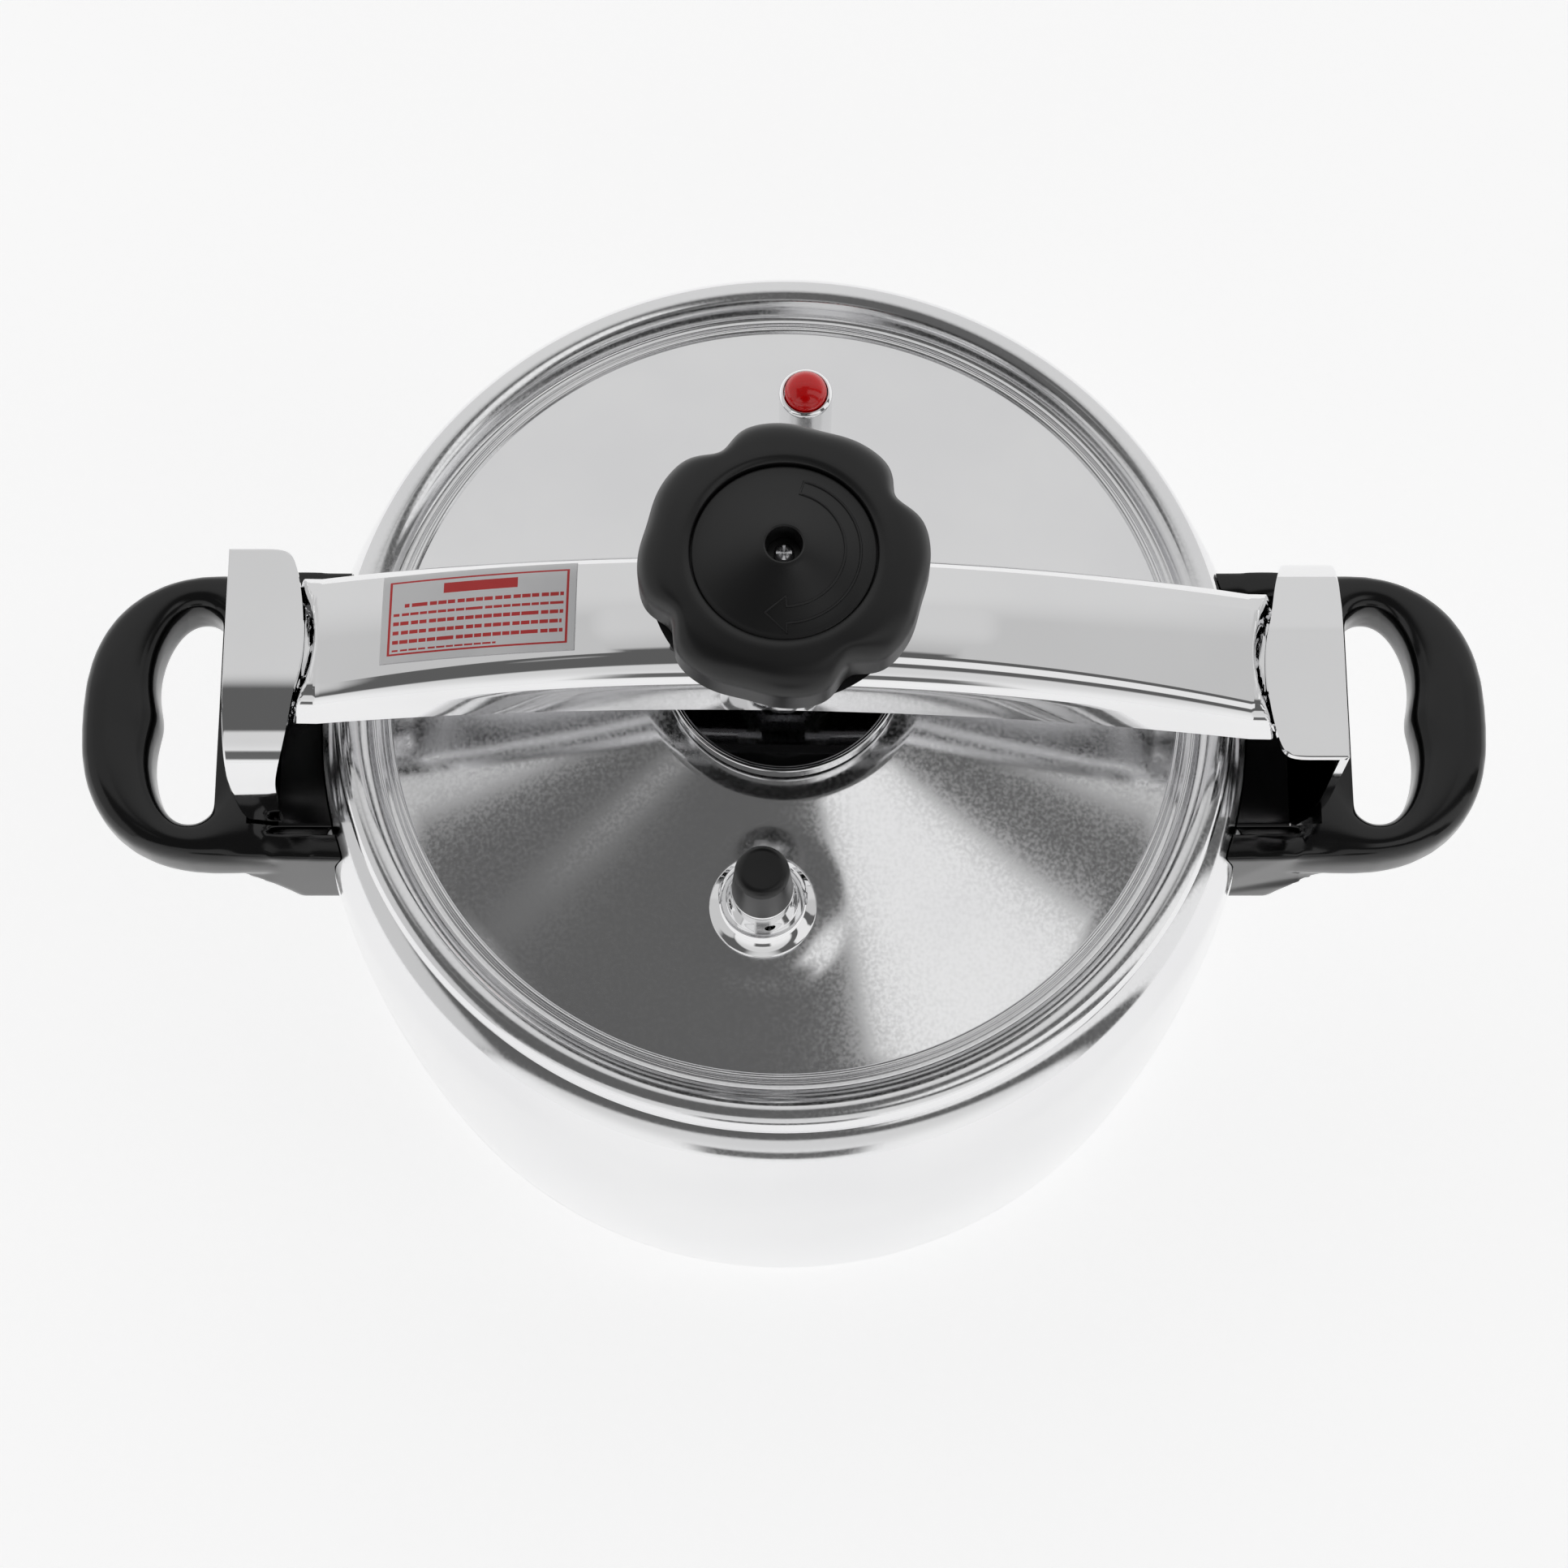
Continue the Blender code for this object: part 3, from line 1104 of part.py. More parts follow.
def make_indicator(materials, frame, stem_foot):
    """Red button on its pin, with the seal that stops it at the top of its travel."""
    body_foot = HOUSING_TOP - BUTTON_BODY
    dome = ellipse_arc(0.0, HOUSING_TOP, BUTTON_RADIUS, BUTTON_PROUD, 0, 90, 5)[:-1]
    dome.append((0.0, HOUSING_TOP + BUTTON_PROUD))
    button = [(0.0, body_foot), (BUTTON_RADIUS, body_foot)] + dome
    turned("indicator_button", button, materials["indicator_red"], frame)
    seal_top = stem_foot - INDICATOR_RISE - GAP
    seal_foot = seal_top - INDICATOR_SEAL_HEIGHT
    pin_foot = seal_foot - PIN_TAIL
    pin_top = body_foot - GAP
    pin = [(0.0, pin_foot), (PIN_RADIUS, pin_foot), (PIN_RADIUS, pin_top), (0.0, pin_top)]
    turned("indicator_pin", pin, materials["steel"], frame, sides=ROUND_HOLE)
    bore = PIN_RADIUS + GAP
    seal = [
        (bore, seal_foot),
        (INDICATOR_SEAL_RADIUS, seal_foot),
        (INDICATOR_SEAL_RADIUS, seal_top),
        (bore, seal_top),
    ]
    turned("indicator_seal", seal, materials["seal_rubber"], frame)


def main():
    clear_scene()
    materials = make_materials()
    pot_frame = make_empty("pot_frame")
    lid_frame = make_empty("lid_frame", (0.0, 0.0, RIM_HEIGHT), LID_YAW)
    spindle_axis = make_empty("spindle_axis", (0.0, 0.0, RIM_HEIGHT))
    beam_axis = make_empty("beam_axis", (0.0, 0.0, RIM_HEIGHT), BEAM_YAW)
    weight_axis = make_empty("weight_axis", (0.0, -WEIGHT_PLACE, 0.0), 0.0, lid_frame)
    indicator_axis = make_empty("indicator_axis", (0.0, INDICATOR_PLACE, 0.0), 0.0, lid_frame)

    pot = make_pot(materials, pot_frame)
    pot_clearance = make_pot_clearance(pot_frame)
    for suffix, turn in (("right", 0.0), ("left", math.pi)):
        side_frame = make_empty("side_frame_" + suffix, (0.0, 0.0, RIM_HEIGHT), turn)
        ear = make_ear("ear_" + suffix, materials, side_frame)
        make_rivets(suffix, [pot, ear], materials, side_frame)
        handle = make_handle("handle_" + suffix, materials, side_frame, pot_clearance)
        make_studs(suffix, handle, materials, side_frame)

    make_lid(materials, lid_frame)
    make_sealing_ring(materials, lid_frame)
    make_hub(materials, lid_frame)
    make_spindle(materials, spindle_axis)
    make_knob(materials, spindle_axis)
    make_beam(materials, beam_axis)
    make_bush(materials, beam_axis)
    make_label(materials, beam_axis)
    make_vent(materials, weight_axis)
    make_weight(materials, weight_axis)
    stem_foot = make_indicator_housing(materials, indicator_axis)
    make_indicator(materials, indicator_axis, stem_foot)


main()
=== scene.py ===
"""Looks of a stove-top pressure cooker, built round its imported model.

Units are metres. X runs along the beam and the handles, and the weight valve faces -Y. Pieces are drawn in
millimetres and scaled by MM. The pot, the rivets and the cap nuts are measured up from the base, and the rest
from the rim plane, which the frame gives.
"""
import math

import bmesh
import bpy
from mathutils import Matrix, Vector


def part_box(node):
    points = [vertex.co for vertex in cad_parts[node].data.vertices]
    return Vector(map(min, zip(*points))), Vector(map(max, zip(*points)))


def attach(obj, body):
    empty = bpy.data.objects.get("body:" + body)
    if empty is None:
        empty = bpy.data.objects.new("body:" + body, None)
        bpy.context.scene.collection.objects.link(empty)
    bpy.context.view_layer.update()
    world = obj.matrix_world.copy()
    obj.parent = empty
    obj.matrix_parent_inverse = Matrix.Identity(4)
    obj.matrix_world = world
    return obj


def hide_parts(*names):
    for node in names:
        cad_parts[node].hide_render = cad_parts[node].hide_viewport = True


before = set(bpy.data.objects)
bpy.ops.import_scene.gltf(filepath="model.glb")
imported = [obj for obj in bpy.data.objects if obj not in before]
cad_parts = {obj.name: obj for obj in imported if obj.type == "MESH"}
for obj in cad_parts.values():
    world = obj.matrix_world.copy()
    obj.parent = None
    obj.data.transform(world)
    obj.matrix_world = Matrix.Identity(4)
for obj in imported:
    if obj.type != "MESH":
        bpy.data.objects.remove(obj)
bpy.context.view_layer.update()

MM = 0.001


def reach(node):
    """Largest distance of a CAD node from the pot's axis, in millimetres."""
    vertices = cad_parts[node].data.vertices
    return max(math.hypot(v.co.x, v.co.y) for v in vertices) / MM


def middle(node):
    """Plan position of the middle of a CAD node, in millimetres."""
    low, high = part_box(node)
    return (low.x + high.x) / 2.0 / MM, (low.y + high.y) / 2.0 / MM


def span(node):
    """Foot and top of a CAD node, in millimetres from the rim plane."""
    low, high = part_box(node)
    return low.z / MM - RIM, high.z / MM - RIM


# Sizes from the frame in millimetres, and the two that go with them
RIM_TOP_DROP = 4.3
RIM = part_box("pot_shell")[1].z / MM + RIM_TOP_DROP
POT_RADIUS = reach("pot_shell")
LID_RADIUS = reach("lid_shell")
RIM_RADIUS = LID_RADIUS - 0.8
WEIGHT_X, WEIGHT_Y = middle("weight_bell")
INDICATOR_X, INDICATOR_Y = middle("indicator_housing")
LID_YAW = math.atan2(WEIGHT_X, -WEIGHT_Y)
BEAM_YAW = math.radians(-1.0)
BEAM_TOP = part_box("beam")[1].z / MM - RIM
KNOB_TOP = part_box("knob")[1].z / MM - RIM
HANDLE_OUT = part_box("handle_right")[1].x / MM
EAR_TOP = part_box("ear_right")[1].z / MM - RIM

# Pot
POT_WALL = 3.0
BASE_WALL = 4.0
BASE_CORNER = 24.0
BASE_TAPER = 3.5
BELLY_DROP = 85.0
SHOULDER_DROP = 37.0
SHOULDER_INSET = 2.0
LEDGE_DROP = 16.0
NECK_RADIUS = RIM_RADIUS - 4.7

# Lid
LID_WALL = 2.5
CONE_FOOT_RADIUS = LID_RADIUS - 17.0
CONE_FOOT_DROP = 2.6
HUB_SEAT_RADIUS = 41.5
HUB_SEAT_RISE = 20.5
VALVE_SEAT_SHARE = 0.25   # how far the cone is eased towards a level seat

# Beam
BEAM_END_TOP = 36.0
BEAM_SHOULDER = 134.6
BEAM_END = 156.0
BEAM_FLAT = 10.0
BEAM_CORNER = 10.0
BEAM_DRAFT = math.radians(18.0)
BEAM_DEPTH = 18.0
BEAM_END_DEPTH = 11.0
TONGUE_TOP = 28.0
TONGUE_DEPTH = 6.0
BEAM_WALL = 2.5
BEAM_CROWN = 0.25

# Ears: places across the ear from its open end to its closed end, then heights down the leg
EAR_OUT = 162.0
EAR_OPEN = -32.0
EAR_ROLL_START = 11.0
EAR_CLOSED = 34.4
EAR_ROLL_END = 9.6
EAR_BEND = -17.6
EAR_FOOT = -61.0
EAR_LEG_END = -78.0
EAR_WALL = 2.5

# Camera, about the middle of the rim plane
CAMERA_ELEVATION = math.radians(70.5)
CAMERA_DISTANCE = 1.030
CAMERA_TILT = math.radians(1.59)
CAMERA_LENS = 79.45


# ---------------------------------------------------------------- materials

class Graph:
    """Short calls for building a node tree."""

    def __init__(self, tree):
        self.tree = tree
        tree.nodes.clear()

    def node(self, kind, inputs=None, **settings):
        made = self.tree.nodes.new(kind)
        for key, value in settings.items():
            setattr(made, key, value)
        for key, value in (inputs or {}).items():
            self.put(made.inputs[key], value)
        return made

    def put(self, socket, value):
        if isinstance(value, bpy.types.NodeSocket):
            self.tree.links.new(value, socket)
        else:
            socket.default_value = value

    def math(self, operation, first, second=0.0):
        return self.node("ShaderNodeMath", {0: first, 1: second}, operation=operation).outputs[0]

    def ramp(self, value, low, high, to_low=0.0, to_high=1.0):
        """Smooth step of a value from one number to another."""
        inputs = {"Value": value, "From Min": low, "From Max": high, "To Min": to_low, "To Max": to_high}
        return self.node("ShaderNodeMapRange", inputs, interpolation_type="SMOOTHSTEP").outputs["Result"]

    def noise(self, vector, scale, detail=3.0, roughness=0.5):
        inputs = {"Vector": vector, "Scale": scale, "Detail": detail, "Roughness": roughness}
        return self.node("ShaderNodeTexNoise", inputs).outputs["Fac"]

    def mix(self, share, first, second):
        made = self.node("ShaderNodeMix", data_type="RGBA")
        self.put(made.inputs[0], share)
        self.put(made.inputs[6], first)
        self.put(made.inputs[7], second)
        return made.outputs[2]


def shaded(name):
    made = bpy.data.materials.new(name)
    made.use_nodes = True
    graph = Graph(made.node_tree)
    shader = graph.node("ShaderNodeBsdfPrincipled")
    output = graph.node("ShaderNodeOutputMaterial")
    graph.tree.links.new(shader.outputs[0], output.inputs["Surface"])
    return made, graph, shader


def bumped(graph, shader, layers):
    """Chain of bumps, each from a height, a depth in metres and a strength."""
    normal = None
    for height, depth, strength in layers:
        bump = graph.node("ShaderNodeBump", {"Height": height, "Distance": depth, "Strength": strength})
        if normal:
            graph.put(bump.inputs["Normal"], normal)
        normal = bump.outputs["Normal"]
    graph.put(shader.inputs["Normal"], normal)


def metal(name, light, dark, smooth, rough, ripple=0.00004, ring_grain=0.0, grain=0.0):
    """Bare or plated metal: cloudy tone and roughness, soft ripples, and turning marks where asked."""
    made, graph, shader = shaded(name)
    place = graph.node("ShaderNodeTexCoord").outputs["Object"]
    cloud = graph.noise(place, 18.0, 4.0)
    fine = graph.noise(place, 900.0, 2.0)
    blend = graph.ramp(cloud, 0.3, 0.7)
    graph.put(shader.inputs["Base Color"], graph.mix(blend, (*light, 1.0), (*dark, 1.0)))
    shader.inputs["Metallic"].default_value = 1.0
    graph.put(shader.inputs["Roughness"], graph.ramp(fine, 0.3, 0.7, smooth, rough))
    layers = [(graph.noise(place, 32.0, 1.0), ripple, 1.0)]
    if ring_grain:
        parts = graph.node("ShaderNodeSeparateXYZ", {0: place})
        across = graph.math("POWER", parts.outputs[0], 2.0)
        along = graph.math("POWER", parts.outputs[1], 2.0)
        radius = graph.math("SQRT", graph.math("ADD", across, along))
        turn = graph.math("ARCTAN2", parts.outputs[1], parts.outputs[0])
        polar = graph.node("ShaderNodeCombineXYZ", {
            0: graph.math("MULTIPLY", radius, 1800.0),
            1: graph.math("MULTIPLY", turn, 2.0),
            2: graph.math("MULTIPLY", parts.outputs[2], 1800.0),
        }).outputs[0]
        layers.append((graph.noise(polar, 1.0, 3.0, 0.7), ring_grain, 1.0))
    if grain:
        layers.append((fine, grain, 1.0))
    bumped(graph, shader, layers)
    return made


def plastic(name, light, dark, smooth, rough, grain_scale, grain, coat=0.0):
    """Moulded plastic or rubber, with a fine skin and slight mottling."""
    made, graph, shader = shaded(name)
    place = graph.node("ShaderNodeTexCoord").outputs["Object"]
    cloud = graph.noise(place, 40.0, 4.0)
    skin = graph.noise(place, grain_scale, 3.0, 0.6)
    blend = graph.ramp(cloud, 0.3, 0.7)
    graph.put(shader.inputs["Base Color"], graph.mix(blend, (*light, 1.0), (*dark, 1.0)))
    graph.put(shader.inputs["Roughness"], graph.ramp(cloud, 0.25, 0.75, smooth, rough))
    shader.inputs["Coat Weight"].default_value = coat
    shader.inputs["Coat Roughness"].default_value = 0.05
    bumped(graph, shader, [(skin, grain, 1.0)])
    return made


def make_materials():
    return {
        "aluminium": metal("polished_aluminium_fine", (0.90, 0.90, 0.905), (0.86, 0.86, 0.87), 0.09, 0.15,
                           ring_grain=0.0000012),
        "lid_metal": metal("lid_aluminium_fine", (0.90, 0.90, 0.905), (0.86, 0.86, 0.87), 0.11, 0.19,
                           ring_grain=0.0000016, grain=0.0000012),
        "chrome": metal("chrome_fine", (0.90, 0.90, 0.905), (0.87, 0.87, 0.875), 0.03, 0.06, ripple=0.00003),
        # Hub cover: chrome whose base colour is darkened as a painted reflection of the beam's shaded
        # underside
        "painted_dark_reflection_chrome": metal("hub_chrome_fine", (0.20, 0.20, 0.205), (0.15, 0.15, 0.155), 0.04, 0.08,
                             ripple=0.00002),
        "steel": metal("turned_steel_fine", (0.66, 0.66, 0.67), (0.56, 0.56, 0.58), 0.22, 0.34,
                       grain=0.000003),
        "gloss_black": plastic("handle_phenolic", (0.004, 0.004, 0.0042), (0.0025, 0.0025, 0.0027), 0.11,
                               0.18, 260.0, 0.000006),
        "satin_black": plastic("knob_phenolic", (0.005, 0.005, 0.0053), (0.003, 0.003, 0.0032), 0.30, 0.40,
                               1500.0, 0.000010),
        "red": plastic("indicator_gloss", (0.80, 0.003, 0.004), (0.72, 0.002, 0.003), 0.12, 0.20,
                       500.0, 0.000004, coat=0.2),
        "rubber": plastic("seal_rubber_fine", (0.46, 0.45, 0.42), (0.38, 0.37, 0.34), 0.55, 0.7,
                          700.0, 0.00002),
        "film": plastic("label_film", (0.74, 0.74, 0.745), (0.68, 0.68, 0.69), 0.30, 0.40,
                        300.0, 0.000004),
        "ink": plastic("label_ink", (0.58, 0.03, 0.03), (0.50, 0.02, 0.02), 0.38, 0.5, 600.0, 0.000004),
    }


# ---------------------------------------------------------------- mesh tools

def placed(name, bm, place=(0.0, 0.0, 0.0), turn=0.0):
    """Object made from a bmesh in millimetres, turned and laid at its place."""
    mesh = bpy.data.meshes.new(name)
    bm.to_mesh(mesh)
    bm.free()
    laid = Matrix.Translation(Vector(place) * MM) @ Matrix.Rotation(turn, 4, "Z")
    mesh.transform(laid @ Matrix.Scale(MM, 4))
    made = bpy.data.objects.new(name, mesh)
    bpy.context.collection.objects.link(made)
    return made


def finish_piece(bm, name, material, body, slot, replaced=(), turn=0.0, place=(0.0, 0.0, 0.0), sharp=38.0,
                 modifiers=()):
    """Make a piece from a bmesh in millimetres, lay it at its place and let it ride on its body."""
    bm.normal_update()
    piece = placed(name, bm, place, turn)
    piece.data.shade_smooth()
    piece.data.set_sharp_from_angle(angle=math.radians(sharp))
    piece.data.materials.append(material)
    for kind, settings in modifiers:
        add_modifier(piece, kind, **settings)
    weighted = piece.modifiers.new("normals", "WEIGHTED_NORMAL")
    weighted.keep_sharp = True
    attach(piece, body)
    if replaced:
        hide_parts(*replaced)
    return piece


def add_modifier(piece, kind, **settings):
    made = piece.modifiers.new(kind.lower(), kind)
    for key, value in settings.items():
        setattr(made, key, value)


def sheet(thickness, edge):
    """Modifiers that make a surface a sheet with rounded edges, in millimetres."""
    return [("SOLIDIFY", {"thickness": thickness * MM, "offset": -1.0, "use_even_offset": True}),
            ("BEVEL", {"width": edge * MM, "segments": 2, "limit_method": "ANGLE",
                       "angle_limit": math.radians(60.0)})]


def smooth_step(share):
    share = min(max(share, 0.0), 1.0)
    return share * share * (3.0 - 2.0 * share)


def rounded(corners, steps=6, closed=True):
    """Polyline through corners (x, z) or (x, z, rounding length), with each marked corner rounded."""
    points = []
    for k, corner in enumerate(corners):
        here = Vector(corner[:2])
        size = corner[2] if len(corner) > 2 else 0.0
        if not closed and k in (0, len(corners) - 1):
            size = 0.0
        if size == 0.0:
            points.append(tuple(here))
            continue
        before = Vector(corners[k - 1][:2])
        after = Vector(corners[(k + 1) % len(corners)][:2])
        start = here + (before - here).normalized() * min(size, (before - here).length * 0.49)
        end = here + (after - here).normalized() * min(size, (after - here).length * 0.49)
        for n in range(steps + 1):
            t = n / steps
            points.append(tuple(start.lerp(here, t).lerp(here.lerp(end, t), t)))
    return points


def offset_path(path, distance):
    """Shift an open path sideways, to the right of its direction, with mitred corners."""
    normals = []
    for (x0, z0), (x1, z1) in zip(path, path[1:]):
        length = math.hypot(x1 - x0, z1 - z0)
        normals.append(((z1 - z0) / length, -(x1 - x0) / length))
    shifted = []
    for k, (x, z) in enumerate(path):
        before = normals[max(k - 1, 0)]
        after = normals[min(k, len(normals) - 1)]
        scale = distance / (1.0 + before[0] * after[0] + before[1] * after[1])
        shifted.append((x + (before[0] + after[0]) * scale, z + (before[1] + after[1]) * scale))
    return shifted


def arc(centre_x, centre_z, half_x, half_z, start, end, steps):
    points = []
    for k in range(steps + 1):
        angle = math.radians(start + (end - start) * k / steps)
        points.append((centre_x + half_x * math.cos(angle), centre_z + half_z * math.sin(angle)))
    return points


def face_outwards(bm):
    bmesh.ops.recalc_face_normals(bm, faces=bm.faces)
    if bm.calc_volume(signed=True) < 0.0:
        bmesh.ops.reverse_faces(bm, faces=bm.faces)


def face_up(bm):
    bmesh.ops.recalc_face_normals(bm, faces=bm.faces)
    if sum(face.normal.z for face in bm.faces) < 0.0:
        bmesh.ops.reverse_faces(bm, faces=bm.faces)


def turned_mesh(profile, sides, radius_at=None, axis="Z"):
    """Spin a closed profile of (radius, height), whose axis points become poles."""
    bm = bmesh.new()
    rings = []
    for radius, height in profile:
        if radius < 0.001:
            rings.append([bm.verts.new((0.0, 0.0, height))])
            continue
        ring = []
        for k in range(sides):
            angle = math.tau * k / sides
            out = radius_at(radius, height, angle) if radius_at else radius
            ring.append(bm.verts.new((out * math.cos(angle), out * math.sin(angle), height)))
        rings.append(ring)
    for lower, upper in zip(rings, rings[1:] + rings[:1]):
        for k in range(sides):
            following = (k + 1) % sides
            corners = [lower[k % len(lower)], lower[following % len(lower)],
                       upper[following % len(upper)], upper[k % len(upper)]]
            unique = list(dict.fromkeys(corners))
            if len(unique) > 2:
                bm.faces.new(unique)
    if axis == "X":
        bmesh.ops.rotate(bm, verts=bm.verts, matrix=Matrix.Rotation(math.radians(90.0), 3, "Y"))
    face_outwards(bm)
    return bm


def turned(name, profile, material, body, slot, replaced=(), sides=96, radius_at=None, **place):
    return finish_piece(turned_mesh(profile, sides, radius_at), name, material, body, slot, replaced, **place)


def grid_mesh(rows, close=False):
    """Quads over a grid of points. A closed grid joins each row's last point to its first."""
    bm = bmesh.new()
    made = [[bm.verts.new(point) for point in row] for row in rows]
    columns = len(rows[0])
    for upper, lower in zip(made, made[1:]):
        for k in range(columns if close else columns - 1):
            following = (k + 1) % columns
            bm.faces.new((upper[k], upper[following], lower[following], lower[k]))
    return bm


def slab(side_view, near, far):
    """Solid with an outline in (x, z) that runs from one y to another."""
    bm = bmesh.new()
    face = bm.faces.new([bm.verts.new((x, near, z)) for x, z in side_view])
    grown = bmesh.ops.extrude_face_region(bm, geom=[face])
    moved = [item for item in grown["geom"] if isinstance(item, bmesh.types.BMVert)]
    bmesh.ops.translate(bm, verts=moved, vec=(0.0, far - near, 0.0))
    return bm


# ---------------------------------------------------------------- pot and lid

def wall_radius(height):
    """Outer radius of the pot's wall at a height above its base, below the shoulder."""
    belly = RIM - BELLY_DROP
    if height < belly:
        return POT_RADIUS - BASE_TAPER * ((belly - height) / (belly - BASE_CORNER)) ** 2
    return POT_RADIUS - SHOULDER_INSET * ((height - belly) / (BELLY_DROP - SHOULDER_DROP)) ** 2


def make_pot(looks):
    """Drawn aluminium pot with turned rings under its base and a rolled rim."""
    base_radius = POT_RADIUS - BASE_TAPER - BASE_CORNER
    outside = [(0.0, 0.6)]
    for k in range(6):
        ring = base_radius * (0.16 + 0.15 * k)
        outside += [(ring - 1.2, 0.6), (ring, 1.1), (ring + 1.2, 0.6)]
    outside += [(base_radius - 4.0, 0.6), (base_radius - 3.0, 0.0)]
    wall = arc(base_radius, BASE_CORNER, BASE_CORNER, BASE_CORNER, -90, 0, 16)
    shoulder = RIM - SHOULDER_DROP
    steps = 26
    for k in range(1, steps):
        height = BASE_CORNER + (shoulder - BASE_CORNER) * k / steps
        wall.append((wall_radius(height), height))
    half_x = POT_RADIUS - SHOULDER_INSET - NECK_RADIUS
    wall += arc(NECK_RADIUS, shoulder, half_x, SHOULDER_DROP - LEDGE_DROP, 0, 84, 16)
    outside += wall
    inside = offset_path(wall[2:], -POT_WALL)
    rim_top = RIM - RIM_TOP_DROP
    mouth = NECK_RADIUS - POT_WALL
    rim = rounded([
        (NECK_RADIUS, RIM - LEDGE_DROP, 1.0),
        (NECK_RADIUS, rim_top - 3.0, 0.6),
        (RIM_RADIUS, rim_top - 3.0, 1.3),
        (RIM_RADIUS, rim_top, 1.3),
        (mouth, rim_top, 0.9),
        (mouth, RIM - LEDGE_DROP - POT_WALL, 1.5),
        inside[-1],
    ])[:-1]
    inside = [(r, max(z, BASE_WALL)) for r, z in inside]
    floor = [(inside[0][0] * share, BASE_WALL) for share in (0.8, 0.5, 0.2)]
    profile = outside + rim + inside[::-1] + floor + [(0.0, BASE_WALL)]
    turned("pot_body", profile, looks["aluminium"], "pot", "polished_aluminium", ["pot_shell"], sides=224)


def cone_height(radius):
    share = (CONE_FOOT_RADIUS - radius) / (CONE_FOOT_RADIUS - HUB_SEAT_RADIUS)
    return -CONE_FOOT_DROP + (HUB_SEAT_RISE + CONE_FOOT_DROP) * share


def lid_profile():
    """Top face of the lid from the skirt to the hub: rolled edge, groove, bead and cone."""
    edge = LID_RADIUS
    rolled = rounded([
        (edge, -RIM_TOP_DROP + 0.3),
        (edge, -0.5, 1.5),
        (edge - 0.7, 1.6, 1.0),
        (edge - 2.5, 3.1, 1.2),
        (edge - 5.0, 3.7, 1.5),
        (edge - 7.5, 3.2, 1.5),
        (edge - 9.8, 1.4, 1.4),
        (edge - 11.9, -CONE_FOOT_DROP, 0.9),
        (edge - 13.8, -CONE_FOOT_DROP, 0.4),
        (edge - 14.1, -3.5, 0.4),
        (edge - 15.0, -3.5, 0.4),
        (edge - 15.5, -1.7, 0.5),
        (edge - 16.6, -1.7, 0.5),
        (edge - 17.1, -CONE_FOOT_DROP + 0.1),
    ], 4, closed=False)
    cone = []
    steps = 40
    for k in range(1, steps):
        radius = CONE_FOOT_RADIUS + (HUB_SEAT_RADIUS - CONE_FOOT_RADIUS) * k / steps
        cone.append((radius, cone_height(radius)))
    seat = rounded([cone[-1], (HUB_SEAT_RADIUS, HUB_SEAT_RISE, 1.5), (30.0, HUB_SEAT_RISE),
                    (6.0, HUB_SEAT_RISE)])
    return rolled + cone + seat[1:]


def make_lid(looks):
    outside = lid_profile()
    profile = outside + offset_path(outside, -LID_WALL)[::-1]
    bm = turned_mesh(profile, 288)
    # Middle of each valve's seat, radius of its flat and width of its fade
    seats = [(Vector((0.0, -math.hypot(WEIGHT_X, WEIGHT_Y), 0.0)), 13.0, 12.0),
             (Vector((0.0, math.hypot(INDICATOR_X, INDICATOR_Y), 0.0)), 8.0, 8.0)]
    for vertex in bm.verts:
        for seat, flat, fade in seats:
            away = math.hypot(vertex.co.x - seat.x, vertex.co.y - seat.y)
            share = smooth_step((flat + fade - away) / fade)
            level = cone_height(abs(seat.y)) - 0.5
            slope = cone_height(math.hypot(vertex.co.x, vertex.co.y))
            vertex.co.z += (level - slope) * share * VALVE_SEAT_SHARE
    finish_piece(bm, "lid_dome", looks["lid_metal"], "lid", "polished_aluminium", ["lid_shell"],
                 turn=LID_YAW, place=(0.0, 0.0, RIM))


def make_hub(looks):
    top = span("hub_plate")[1]
    floor = top - 4.9
    radius = reach("hub_plate")
    inner = radius - 1.2
    plate = rounded([
        (0.0, floor - 11.0), (5.7, floor - 11.0, 0.8), (5.7, floor), (radius, floor, 0.5),
        (radius, top, 0.5), (inner, top, 0.4), (inner, floor + 2.4), (0.0, floor + 2.4)])
    turned("hub_dish", plate, looks["chrome"], "lid", "chromed_steel", ["hub_plate"], sides=128,
           place=(0.0, 0.0, RIM))
    low, high = span("hub_cap")
    outer = reach("hub_cap")
    cap = rounded([(7.0, low), (outer, low), (outer, high, 0.6), (7.0, high, 0.5)])
    # The cover's darkened chrome is a painted reflection of the beam's shaded underside, not a dark plating
    turned("hub_cover", cap, looks["painted_dark_reflection_chrome"], "lid", "chromed_steel", ["hub_cap"], sides=128,
           place=(0.0, 0.0, RIM))


# ---------------------------------------------------------------- beam

def beam_state(x):
    """Top height, flat half width, corner radius and depth at a distance along the beam."""
    share = min(abs(x) / BEAM_SHOULDER, 1.0) ** 2
    top = BEAM_TOP + (BEAM_END_TOP - BEAM_TOP) * share
    depth = BEAM_DEPTH - (BEAM_DEPTH - BEAM_END_DEPTH) * share
    return top, BEAM_FLAT + 3.6 * share, BEAM_CORNER - 3.0 * share, depth


def beam_half(x):
    """Outer face of half of the beam's section, from its middle line to its lower edge."""
    top, flat, corner, depth = beam_state(x)
    points = [(flat * k / 4.0, top - BEAM_CROWN * (k / 4.0) ** 2) for k in range(4)]
    points += arc(flat, top - corner - BEAM_CROWN, corner, corner, 90, math.degrees(BEAM_DRAFT), 12)
    start_y, start_z = points[-1]
    low = top - depth
    end_y = start_y + (start_z - low) * math.tan(BEAM_DRAFT)
    for k in range(1, 6):
        points.append((start_y + (end_y - start_y) * k / 5.0, start_z + (low - start_z) * k / 5.0))
    return points


